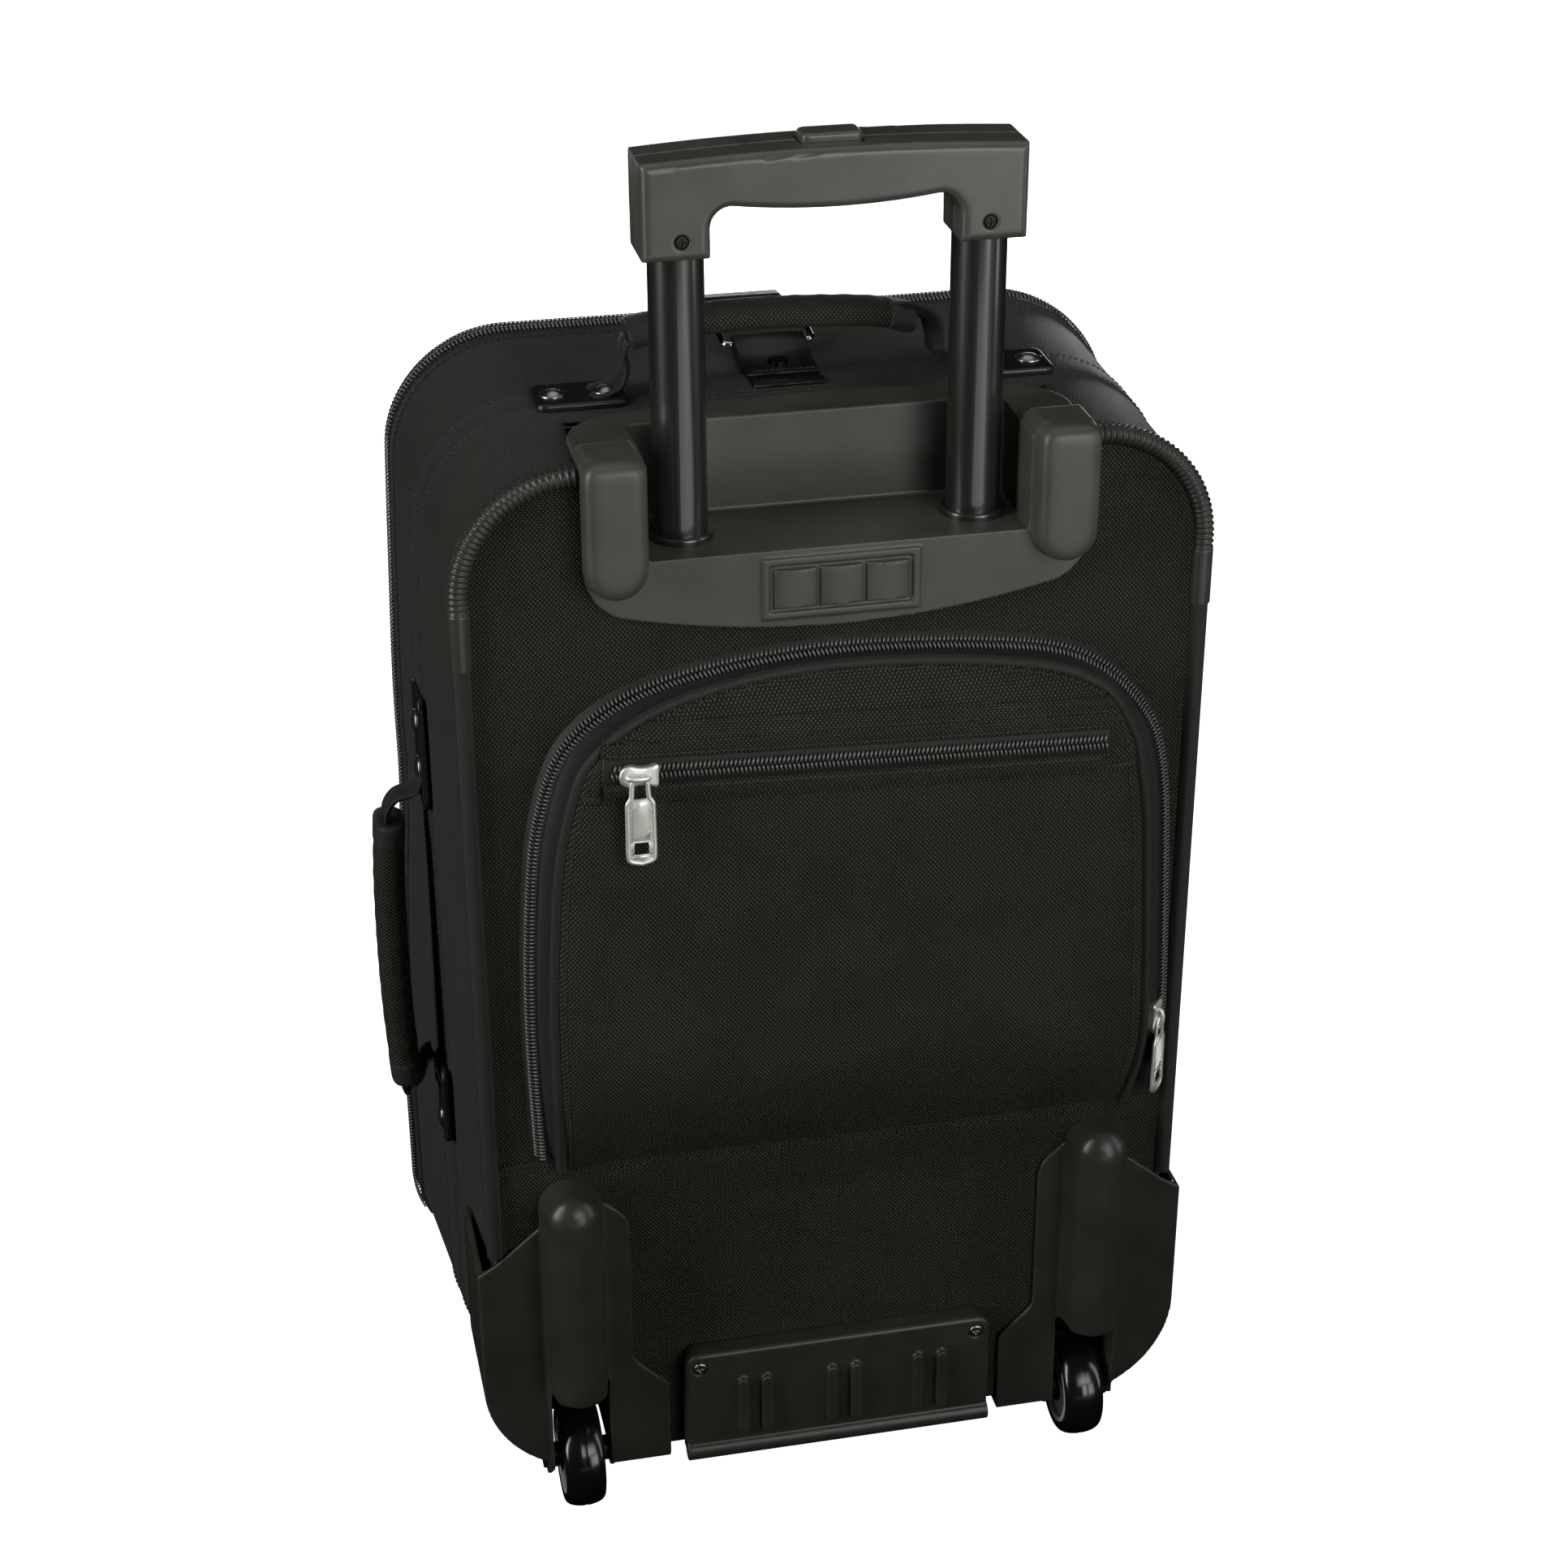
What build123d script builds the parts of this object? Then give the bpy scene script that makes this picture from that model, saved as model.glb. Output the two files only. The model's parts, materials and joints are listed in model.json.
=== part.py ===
from build123d import *
import os
from math import atan2, cos, degrees, hypot, pi, radians, sin

# Softside upright suitcase with a telescopic handle and two inline wheels. Millimetres.
# +Z is up, -Y is the front with the zipped lid, +Y is the back with the telescopic handle,
# and +X is the side with the side carry handle. The floor is z = 0.

# Main compartment: a fabric gusset ring between the back panel and the main zip
CASE_TOP = 552.5
CASE_BOTTOM = 31.0
CASE_HEIGHT = CASE_TOP - CASE_BOTTOM
CASE_MIDDLE_Z = (CASE_TOP + CASE_BOTTOM) / 2
CORNER_R = 52.0
GUSSET_WALL = 2.4
GUSSET_BACK_Y = -5.0
GUSSET_MIDDLE_Y = -95.0
GUSSET_FRONT_Y = -189.6
BACK_HALF_WIDTH = 166.0
MIDDLE_HALF_WIDTH = 176.0
FRONT_HALF_WIDTH = 180.0
TOP_PANEL_MIN_Z = 500.0
BOTTOM_PANEL_MAX_Z = 84.0

# Back panel, its piping and the ribbed protectors at the two top corners
BACK_PANEL_INSET = 5.6
BACK_PANEL_THICKNESS = 2.8
PIPING_R = 4.0
PIPING_BOTTOM_Z = 160.8
PROTECTOR_R = 4.75
RIB_R = 4.95
RIB_PITCH = 2.7
SMOOTH_SLEEVE_BOTTOM_Z = 468.6

# Lid: the front panel with two pockets, hinged in the fabric of the bottom edge
LID_BACK_Y = -190.4
LID_FRONT_Y = -223.0
LID_EDGE_R = 9.0
POCKET_WALL = 2.2
LOWER_POCKET = {"z0": 70.0, "z1": 330.0, "depth": 20.0, "zip_z": 312.0}
UPPER_POCKET = {"z0": 345.0, "z1": 505.0, "depth": 14.0, "zip_z": 488.0}
LID_POCKET_HALF_WIDTH = 150.0
LID_ZIP_HALF_LENGTH = 128.0

# Telescopic handle
TUBE_X = 65.4
TUBE_Y = -22.7
TUBE_R = 12.0
TUBE_WALL = 1.2
GUIDE_BORE_R = 13.0
GUIDE_WALL = 1.2
RUNNING_CLEARANCE = 0.06
TUBE_TOP_Z = 662.0
TUBE_BOTTOM_Z = 193.0
GUIDE_TOP_Z = 509.4
GUIDE_BOTTOM_Z = 62.0
COLLAR_BARREL_BOTTOM_Z = 480.0
STOWED_TRAVEL = -122.5
EXTENDED_TRAVEL = 270.0
GRIP_HALF_WIDTH = 82.0
GRIP_HALF_DEPTH = 17.0
GRIP_BOTTOM_Z = 639.6
GRIP_UNDERSIDE_Z = 659.5
GRIP_END_Z = 680.6
GRIP_CROWN_Z = 683.4
LEG_INNER_X = 53.0
GRIP_INNER_R = 9.0
GRIP_SCREW_Z = 648.0
BUTTON_HALF_WIDTH = 13.0
BUTTON_HALF_DEPTH = 7.0
BUTTON_TOP_Z = 687.0
BUTTON_TRAVEL = 4.0
YOKE_Z = (668.0, 673.0)
ROD_R = 3.0
SPRING_R = 5.0
SPRING_WIRE_R = 0.55
SPRING_Z = (646.5, 667.3)

# Spring pins at the lower end of the sliding tubes, drawn in by a slanted tongue on each pull rod
PIN_Z = 202.0
PIN_R = 3.0
PIN_TIP = 12.6
PIN_TAIL = -5.5
TONGUE_SLOPE = 0.75
TONGUE_HALF = 1.3

# Moulded recess that the handle folds into, on the top rear edge
CUP_HALF_WIDTH = 112.0
CUP_BOTTOM_Z = 475.6
CUP_SKIN = 4.0
CUP_TOP_Z = 556.0
CUP_FRONT_Y = -70.0
RECESS_HALF_WIDTH = 84.0
RECESS_FLOOR_Z = 512.6
RECESS_FRONT_Y = -46.0
CUP_WALL = 3.0
BUMPER_X = (85.0, 113.0)
BUMPER_Y = 17.0
BUMPER_Z = (499.0, 562.0)
BUMPER_EDGE_R = 5.0

# Wheels and the plastic housings at the lower corners
WHEEL_X = 128.5
WHEEL_Y = -10.5
WHEEL_R = 27.0
WHEEL_WIDTH = 22.0
HUB_R = 20.0
BEARING_R = 9.0
BEARING_WIDTH = 6.0
AXLE_R = 4.0
AXLE_HEAD_R = 6.0
WELL_HALF_WIDTH = 14.5
WELL_WALL = 2.5
WELL_CLEARANCE = 2.1
WELL_TOP_Z = 80.6
WELL_FRONT_Y = -44.0
HOUSING_SKIN = 3.4
HOUSING_OUTER_X = 175.4
HOUSING_BOTTOM_Z = 27.4
HOUSING_WRAP_Y = -56.0
HOUSING_TOP_Z = 193.6
FLANGE_CORNER_R = (7.0, 9.0, 16.0, 14.0, 12.0)
BUMP_HALF_WIDTH = 15.5
BUMP_TOP_Z = 201.6
BUMP_Y = 25.0

# Skid plate between the wheels and the two feet under the front
SKID_HALF_WIDTH = 77.0
SKID_Z = (28.6, 92.6)
SKID_Y = 14.0
FOOT_X = 118.0
FOOT_Y = (-172.0, -146.0)

# Zipped pocket on the back panel
POCKET_CENTRE_X = -3.0
POCKET_HALF_WIDTH = 147.0
POCKET_Z = (209.0, 466.0)
POCKET_Y = 30.0
POCKET_SIDE_Y = 10.0
POCKET_BEVEL = 17.0
POCKET_CORNER_R = 58.0
POCKET_FOOT_Y = 6.0
POCKET_SLOPE_TOP_Z = 272.0
ZIP_CENTRE_Z = 423.0
ZIP_HALF_LENGTH = 112.0
ZIP_TILT = 2.3
ZIP_SLIDER_X = 96.0
U_SLIDER_Z = 257.0
U_SLIDER_Y = 9.4
U_SLIDER_LEAN = 40.0
BRIDGE_HEIGHT = 5.1
CROSSBAR_HEIGHT = 3.3
MAIN_SLIDER_Z = {"upper": 345.0, "lower": 300.0}

# Carry handles, leather tab and ring
PLATE_THICKNESS = 3.2
TOP_HANDLE_Y = -91.5
SIDE_HANDLE_Y = -92.0
TAB_CENTRE_X = 3.0
RING_HINGE = (-133.0, 558.0)
RING_WIRE_R = 1.6

NODES = {}


def block(x, y, z):
    """A box between pairs of limits along X, Y and Z."""
    size = Box(x[1] - x[0], y[1] - y[0], z[1] - z[0])
    return Pos((x[0] + x[1]) / 2, (y[0] + y[1]) / 2, (z[0] + z[1]) / 2) * size


def facing_front(y, x=0.0, z=0.0):
    """A plane at this y with +X to the right and +Z up; extruding from it runs towards -Y."""
    return Plane(origin=(x, y, z), x_dir=(1, 0, 0), z_dir=(0, -1, 0))


def rod_x(x, y, z, radius):
    """A cylinder along X between two x limits."""
    turned = Rot(0, 90, 0) * Cylinder(radius, x[1] - x[0])
    return Pos((x[0] + x[1]) / 2, y, z) * turned


def rod_y(x, y, z, radius):
    """A cylinder along Y between two y limits."""
    turned = Rot(90, 0, 0) * Cylinder(radius, y[1] - y[0])
    return Pos(x, (y[0] + y[1]) / 2, z) * turned


def rod_z(x, y, z, radius):
    """A cylinder along Z between two z limits."""
    return Pos(x, y, (z[0] + z[1]) / 2) * Cylinder(radius, z[1] - z[0])


def outline(half_width, y, grow=0.0):
    """The case's rounded outline at one depth, grown outwards by an amount."""
    size = RectangleRounded(2 * (half_width + grow), CASE_HEIGHT + 2 * grow, CORNER_R + grow)
    return facing_front(y, z=CASE_MIDDLE_Z) * size


def outline_slab(half_width, y, grow=0.0):
    """The rounded outline extruded between two depths, y[0] being the rear one."""
    return extrude(outline(half_width, y[0], grow), y[0] - y[1])


def outline_ring(half_width, y, grow_out, grow_in):
    return outline_slab(half_width, y, grow_out) - outline_slab(half_width, y, grow_in)


def outline_wire(half_width, y, grow, radius):
    """A round cord swept along the rounded outline."""
    path = outline(half_width, y, grow).face().outer_wire()
    start = path @ 0
    profile = Plane(origin=start, z_dir=path % 0) * Circle(radius)
    return sweep(profile, path, transition=Transition.ROUND)


def both_sides(shape):
    return [shape, mirror(shape, about=Plane.YZ)]


def save(name, *shapes):
    """Register the solids of one node."""
    solids = []
    for shape in shapes:
        solids.extend(shape.solids())
    NODES[name] = Compound(children=solids) if len(solids) > 1 else solids[0]


def screw(head_r, head_height, shank_r, shank_length):
    """A cross-head screw that points along -Z, its head's top at z = head_height."""
    head = rod_z(0, 0, (0, head_height), head_r)
    head = fillet(head.edges().group_by(Axis.Z)[-1], head_height * 0.6)
    shank = rod_z(0, 0, (-shank_length, 0), shank_r)
    slot = Pos(0, 0, head_height) * Box(head_r * 1.2, head_r * 0.3, head_height)
    return head + shank - slot - Rot(0, 0, 90) * slot


def gusset_loft(grow):
    sections = [
        outline(BACK_HALF_WIDTH, GUSSET_BACK_Y, grow),
        outline(MIDDLE_HALF_WIDTH, GUSSET_MIDDLE_Y, grow),
        outline(FRONT_HALF_WIDTH, GUSSET_FRONT_Y, grow),
    ]
    return Solid.make_loft([s.face().outer_wire() for s in sections], ruled=True)


def well_box(grow=0.0):
    """The space of the +X wheel well, open at the back and below."""
    limits_x = (WHEEL_X - WELL_HALF_WIDTH - grow, WHEEL_X + WELL_HALF_WIDTH + grow)
    return block(limits_x, (WELL_FRONT_Y - grow, 40.0), (-5.0, WELL_TOP_Z + grow))


def gusset():
    """The fabric ring, as a top with both corners, two sides and a bottom."""
    ring = gusset_loft(0.0) - gusset_loft(-GUSSET_WALL)
    ring -= block((-88.0, 88.0), (-50.0, 0.0), (505.0, 560.0))
    for hole in both_sides(well_box(WELL_WALL + WELL_CLEARANCE)):
        ring -= hole
    whole = 400.0
    save("gusset_top", ring & block((-whole, whole), (-whole, whole), (TOP_PANEL_MIN_Z, whole * 2)))
    save("gusset_bottom", ring & block((-whole, whole), (-whole, whole), (0, BOTTOM_PANEL_MAX_Z)))
    side = ring & block((0, whole), (-whole, whole), (BOTTOM_PANEL_MAX_Z, TOP_PANEL_MIN_Z))
    save("gusset_sides", *both_sides(side))


def stiffener_boards():
    """The stiff back board, and the board on the bottom in front of the wheel wells."""
    panel = extrude(
        facing_front(-0.2, z=CASE_MIDDLE_Z)
        * RectangleRounded(
            2 * (BACK_HALF_WIDTH - BACK_PANEL_INSET),
            CASE_HEIGHT - 2 * BACK_PANEL_INSET,
            CORNER_R - BACK_PANEL_INSET,
        ),
        BACK_PANEL_THICKNESS,
    )
    panel -= block((-88.0, 88.0), (-50.0, 5.0), (505.0, 560.0))
    for hole in both_sides(well_box(WELL_WALL + WELL_CLEARANCE)):
        panel -= hole
    save("stiffener_boards", panel, block((-125.0, 125.0), (-182.0, -62.0), (33.6, 36.0)))


def lining_panel():
    """The lining that covers the guide tubes inside the main compartment."""
    panel = facing_front(-50.6, z=CASE_MIDDLE_Z) * RectangleRounded(330.0, 506.0, 44.0)
    save("lining_panel", extrude(panel, 1.4))


def tie_straps():
    """Two webbing straps that meet at a side-release buckle, inside the main compartment."""
    strap = block((24.0, 150.0), (-54.2, -52.4), (292.0, 317.0))
    save("tie_straps", *both_sides(strap))
    buckle = block((-23.5, 23.5), (-59.0, -52.4), (288.0, 321.0))
    buckle = fillet(buckle.edges().filter_by(Axis.Y), 6.0)
    for x in (-19.0, 19.0):
        buckle -= block((x - 2.0, x + 2.0), (-60.0, -52.0), (291.5, 317.5))
    save("strap_buckle", buckle)


def wire_frame():
    """Spring-steel wire loops sewn into the front and the back edge of the gusset."""
    inset = -GUSSET_WALL - 1.9
    front = outline_wire(FRONT_HALF_WIDTH - 0.6, -184.0, inset, 1.5)
    back = outline_wire(BACK_HALF_WIDTH, -9.0, inset, 1.5)
    back -= block((-90.0, 90.0), (-50.0, 0.0), (480.0, 560.0))
    for hole in both_sides(well_box(WELL_WALL + WELL_CLEARANCE)):
        back -= hole
    save("wire_frame", front, back)


def piping():
    """Cord along the back edge, and the ribbed sleeves over it at the two top corners."""
    cord = outline_wire(BACK_HALF_WIDTH, 0.0, 0.0, PIPING_R)
    cord -= block((-BUMPER_X[1], BUMPER_X[1]), (-20, 20), (400, 600))
    cord -= block((-300, 300), (-20, 20), (0.0, PIPING_BOTTOM_Z))
    corners = both_sides(block((BUMPER_X[1] + 0.2, 300.0), (-20, 20), (SMOOTH_SLEEVE_BOTTOM_Z, 600)))
    save("back_piping", cord - corners[0] - corners[1])
    sleeve = outline_wire(BACK_HALF_WIDTH, 0.0, 0.0, PROTECTOR_R) & corners[0]
    centre_x = BACK_HALF_WIDTH - CORNER_R
    centre_z = CASE_TOP - CORNER_R
    count = int(CORNER_R * pi / 2 / RIB_PITCH)
    for i in range(count):
        angle = pi / 2 * (i + 0.5) / count
        at = (centre_x + CORNER_R * cos(angle), 0.0, centre_z + CORNER_R * sin(angle))
        along = (-sin(angle), 0.0, cos(angle))
        sleeve += extrude(Plane(origin=at, z_dir=along) * Circle(RIB_R), RIB_PITCH * 0.25, both=True)
    save("corner_protectors", *both_sides(sleeve))


def main_zip():
    """The two halves of the main zip, over both sides and the top."""
    above = block((-400, 400), (-400, 400), (62.0, 700.0))
    grow_in = 0.3
    case_half = outline_ring(FRONT_HALF_WIDTH, (-182.5, -189.8), 1.6, grow_in)
    case_half += outline_ring(FRONT_HALF_WIDTH, (-186.8, -189.8), 2.6, grow_in)
    save("main_zip_case", case_half & above)
    lid_half = outline_ring(FRONT_HALF_WIDTH, (-190.2, -197.5), 1.6, grow_in)
    lid_half += outline_ring(FRONT_HALF_WIDTH, (-190.2, -193.2), 2.6, grow_in)
    save("main_zip_lid", lid_half & above)


def pocket_tray(half_width, z, y_back, depth, corner_r, wall):
    """A shallow fabric pocket on the lid's front, open towards the panel it is sewn to."""
    middle = (z[0] + z[1]) / 2
    height = z[1] - z[0]
    outer = extrude(
        facing_front(y_back, z=middle) * RectangleRounded(2 * half_width, height, corner_r), depth
    )
    outer = fillet(outer.edges().group_by(Axis.Y)[0], 6.0)
    inner = extrude(
        facing_front(y_back, z=middle)
        * RectangleRounded(2 * (half_width - wall), height - 2 * wall, corner_r - wall),
        depth - wall,
    )
    return outer - inner


def lid():
    shell = outline_slab(FRONT_HALF_WIDTH, (LID_BACK_Y, LID_FRONT_Y))
    shell = fillet(shell.edges().group_by(Axis.Y)[0], LID_EDGE_R)
    shell -= outline_slab(FRONT_HALF_WIDTH, (LID_BACK_Y, LID_FRONT_Y + GUSSET_WALL), -GUSSET_WALL)
    save("lid_shell", shell)
    board = facing_front(LID_FRONT_Y + GUSSET_WALL + 2.2, z=CASE_MIDDLE_Z)
    save("lid_board", extrude(board * RectangleRounded(330.0, 490.0, 44.0), 2.0))
    zips = []
    for name, size in (("lid_pocket_lower", LOWER_POCKET), ("lid_pocket_upper", UPPER_POCKET)):
        start = LID_FRONT_Y - 0.3
        tray = pocket_tray(
            LID_POCKET_HALF_WIDTH, (size["z0"], size["z1"]), start, size["depth"], 34.0, POCKET_WALL
        )
        face = start - size["depth"]
        zip_z = size["zip_z"]
        slit = (-LID_ZIP_HALF_LENGTH + 4, LID_ZIP_HALF_LENGTH - 4)
        tray -= block(slit, (face - 1, face + 5), (zip_z - 3, zip_z + 3))
        save(name, tray)
        strip = block(
            (-LID_ZIP_HALF_LENGTH, LID_ZIP_HALF_LENGTH), (face - 1.6, face), (zip_z - 8, zip_z + 8)
        )
        zips.append(strip)
    save("lid_pocket_zips", *zips)


def back_pocket_outline(y, inset):
    """The pocket's outline: square at the foot, with large top corners."""
    half = POCKET_HALF_WIDTH - inset
    low = POCKET_Z[0] + min(inset, 10.0)
    high = POCKET_Z[1] - inset
    radius = POCKET_CORNER_R - inset * 0.5
    plane = facing_front(y, x=POCKET_CENTRE_X)
    size = plane * Pos(0, (low + high) / 2) * Rectangle(2 * half, high - low)
    return fillet(size.vertices().sort_by(Axis.Z)[-2:], radius)


def back_pocket_loft(inset, shorter):
    """The pocket's body, which runs out to the seam at its foot."""
    wires = []
    for y, more in ((0.3, 0.0), (POCKET_SIDE_Y, 0.0), (POCKET_Y - shorter, POCKET_BEVEL)):
        wires.append(back_pocket_outline(y, inset + more).face().outer_wire())
    body = Solid.make_loft(wires, ruled=True)
    low = POCKET_Z[0] - 1.0
    run_out = [(POCKET_FOOT_Y - shorter, low), (60.0, low), (60.0, 320.0), (POCKET_Y + 1.0, POCKET_SLOPE_TOP_Z)]
    with BuildSketch(Plane.YZ.offset(-200.0)) as wedge:
        with BuildLine():
            Polyline(*run_out, close=True)
        make_face()
    return body - Pos(0, -shorter, 0) * extrude(wedge.sketch, 400.0)


def zip_tilt(shape):
    """Turn a level shape to the slight slope of the pocket's mouth."""
    return Pos(0, 0, ZIP_CENTRE_Z) * Rot(0, -ZIP_TILT, 0) * shape


def back_pocket():
    shell = back_pocket_loft(0.0, 0.0) - back_pocket_loft(POCKET_WALL, POCKET_WALL)
    mouth = ZIP_HALF_LENGTH - 4
    shell -= zip_tilt(block((-mouth, mouth), (POCKET_Y - 6, POCKET_Y + 2), (-3.0, 3.0)))
    save("back_pocket", shell)
    straight = zip_tilt(
        block((-ZIP_HALF_LENGTH, ZIP_HALF_LENGTH), (POCKET_Y, POCKET_Y + 0.8), (-8.0, 8.0))
        + block((-ZIP_HALF_LENGTH, ZIP_HALF_LENGTH), (POCKET_Y + 0.8, POCKET_Y + 1.8), (-3.2, 3.2))
    )
    around = extrude(back_pocket_outline(10.0, -2.4), 6.5) - extrude(back_pocket_outline(10.0, -0.2), 6.5)
    around &= block((-300, 300), (-50, 50), (POCKET_Z[0] + 4, 600))
    save("back_pocket_zips", straight, around)


def slider_body():
    """A zip slider lying on the XY plane, its bridge along X, 8 mm wide and 17 mm long."""
    plate = extrude(RectangleRounded(17.0, 8.6, 3.0), 2.4)
    feet = block((-8.0, -5.6), (-1.6, 1.6), (2.4, 6.0)) + block((5.6, 8.0), (-1.6, 1.6), (2.4, 6.0))
    return plate + feet + rod_x((-5.6, 5.6), 0.0, BRIDGE_HEIGHT, 0.9)


def pull_blade(top, length):
    """The flat of a pull, facing +Y and hanging along -Z, with a window near its end."""
    blade = block((-6.4, 6.4), (-0.7, 0.9), (-length, -top))
    blade = fillet(blade.edges().filter_by(Axis.Y), 2.6)
    return blade - block((-3.4, 3.4), (-3, 3), (-length + 3.2, -length + 8.0))


def hooked_pull(length):
    """A pull whose eye goes round a slider's bridge, so that it hangs across the zip."""
    eye = rod_x((-2.6, 2.6), 0, 0, 2.2) - rod_x((-3, 3), 0, 0, 1.25)
    neck = block((-2.6, 2.6), (-0.7, 0.9), (-6.0, -1.7))
    return eye + neck + pull_blade(5.0, length)


def barred_pull(length):
    """A pull whose crossbar lies under a slider's bridge, so that it hangs along the zip."""
    bar = rod_x((-3.6, 3.6), 0, 0, 0.7)
    for x in ((-3.6, -2.2), (2.2, 3.6)):
        bar += block(x, (-0.7, 0.7), (-12.0, 0.0))
    return bar + pull_blade(9.6, length)


def save_side_slider(slider_name, pull_name, at, length, lean=0.0):
    """A slider on a vertical zip that faces -X, or leans from there to the rear, and its pull."""
    seat = Pos(*at) * Rot(0, 0, -lean)
    save(slider_name, seat * Rot(0, -90, 0) * slider_body())
    save(pull_name, seat * Pos(-CROSSBAR_HEIGHT, 0, 0) * Rot(0, 0, 90) * barred_pull(length))


def zip_sliders():
    """Sliders and pulls of the two back pocket zips and of the main zip."""
    face = POCKET_Y + 2.1
    lift = ZIP_SLIDER_X * sin(radians(ZIP_TILT))
    upright = Pos(ZIP_SLIDER_X, face, ZIP_CENTRE_Z + lift) * Rot(0, -ZIP_TILT, 0) * Rot(-90, 0, 0)
    save("pocket_slider", upright * slider_body())
    save("pocket_pull", Pos(ZIP_SLIDER_X, face + BRIDGE_HEIGHT, ZIP_CENTRE_Z + lift) * hooked_pull(41.0))

    side = POCKET_CENTRE_X - POCKET_HALF_WIDTH - 3.3
    at = (side, U_SLIDER_Y, U_SLIDER_Z)
    save_side_slider("u_zip_slider", "u_zip_pull", at, 41.0, U_SLIDER_LEAN)

    side = -FRONT_HALF_WIDTH - 2.9
    for name, z in MAIN_SLIDER_Z.items():
        save_side_slider(f"main_slider_{name}", f"main_pull_{name}", (side, -190.0, z), 34.0)


def trolley_cup():
    """The recess moulding, with its two end bumpers and a framed row of three ribs."""
    with BuildSketch(facing_front(0.3 + CUP_SKIN)) as face:
        with BuildLine():
            left = Line((-CUP_HALF_WIDTH, 510.0), (-CUP_HALF_WIDTH, CUP_TOP_Z))
            top = Line(left @ 1, (CUP_HALF_WIDTH, CUP_TOP_Z))
            right = Line(top @ 1, (CUP_HALF_WIDTH, 510.0))
            corner = ThreePointArc(right @ 1, (107.5, 495.5), (97.0, 487.4))
            foot = ThreePointArc(corner @ 1, (0.0, CUP_BOTTOM_Z), (-97.0, 487.4))
            ThreePointArc(foot @ 1, (-107.5, 495.5), left @ 0)
        make_face()
    back = extrude(face.sketch, CUP_SKIN)
    with BuildSketch(Plane.XY.offset(CASE_TOP + 0.4)) as lid_face:
        with BuildLine():
            rear = Line((-CUP_HALF_WIDTH, 0.3), (CUP_HALF_WIDTH, 0.3))
            side = Line(rear @ 1, (CUP_HALF_WIDTH, -36.0))
            turn = ThreePointArc(side @ 1, (104.0, -53.0), (84.0, -63.0))
            front = ThreePointArc(turn @ 1, (0.0, CUP_FRONT_Y), (-84.0, -63.0))
            last = ThreePointArc(front @ 1, (-104.0, -53.0), (-CUP_HALF_WIDTH, -36.0))
            Line(last @ 1, rear @ 0)
        make_face()
    top = extrude(lid_face.sketch, CUP_TOP_Z - CASE_TOP - 0.4)
    outer = block(
        (-RECESS_HALF_WIDTH - CUP_WALL, RECESS_HALF_WIDTH + CUP_WALL),
        (RECESS_FRONT_Y - CUP_WALL, 0.3 + CUP_SKIN),
        (RECESS_FLOOR_Z - CUP_WALL, CUP_TOP_Z),
    )
    recess = block((-RECESS_HALF_WIDTH, RECESS_HALF_WIDTH), (RECESS_FRONT_Y, 50), (RECESS_FLOOR_Z, 600))
    cup = back + top + outer - recess
    for bumper in both_sides(bumper_pillar()):
        cup += bumper
    rear = 0.3 + CUP_SKIN
    frame = block((-35, 35), (rear, rear + 1.4), (481.0, 509.0))
    frame -= block((-32, 32), (rear, rear + 3), (484.0, 506.0))
    cup += frame
    for i in (-1, 0, 1):
        rib = rod_z(i * 20.5, rear - 28.0, (486.0, 504.0), 31.0)
        cup += rib & block((i * 20.5 - 9.3, i * 20.5 + 9.3), (rear - 0.5, 20), (486.0, 504.0))
    for x in (-TUBE_X, TUBE_X):
        cup -= rod_z(x, TUBE_Y, (500, 520), GUIDE_BORE_R)
    save("trolley_cup", cup)


def bumper_pillar():
    """One end bumper: a pillar with a round foot that rises above the top."""
    middle = (BUMPER_X[0] + BUMPER_X[1]) / 2
    half = (BUMPER_X[1] - BUMPER_X[0]) / 2
    shape = block(BUMPER_X, (0.3 + CUP_SKIN, BUMPER_Y), (BUMPER_Z[0] + half, BUMPER_Z[1]))
    shape += rod_y(middle, (0.3 + CUP_SKIN, BUMPER_Y), BUMPER_Z[0] + half, half)
    rear_edges = shape.edges().group_by(Axis.Y)[-1]
    shape = fillet(rear_edges.filter_by(lambda edge: edge.center().Z < BUMPER_Z[1] - 1), BUMPER_EDGE_R)
    shape += block(BUMPER_X, (-16.0, 0.3 + CUP_SKIN), (CUP_TOP_Z, BUMPER_Z[1]))
    return chamfer(shape.edges().group_by(Axis.Z)[-1], 3.5)


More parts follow.
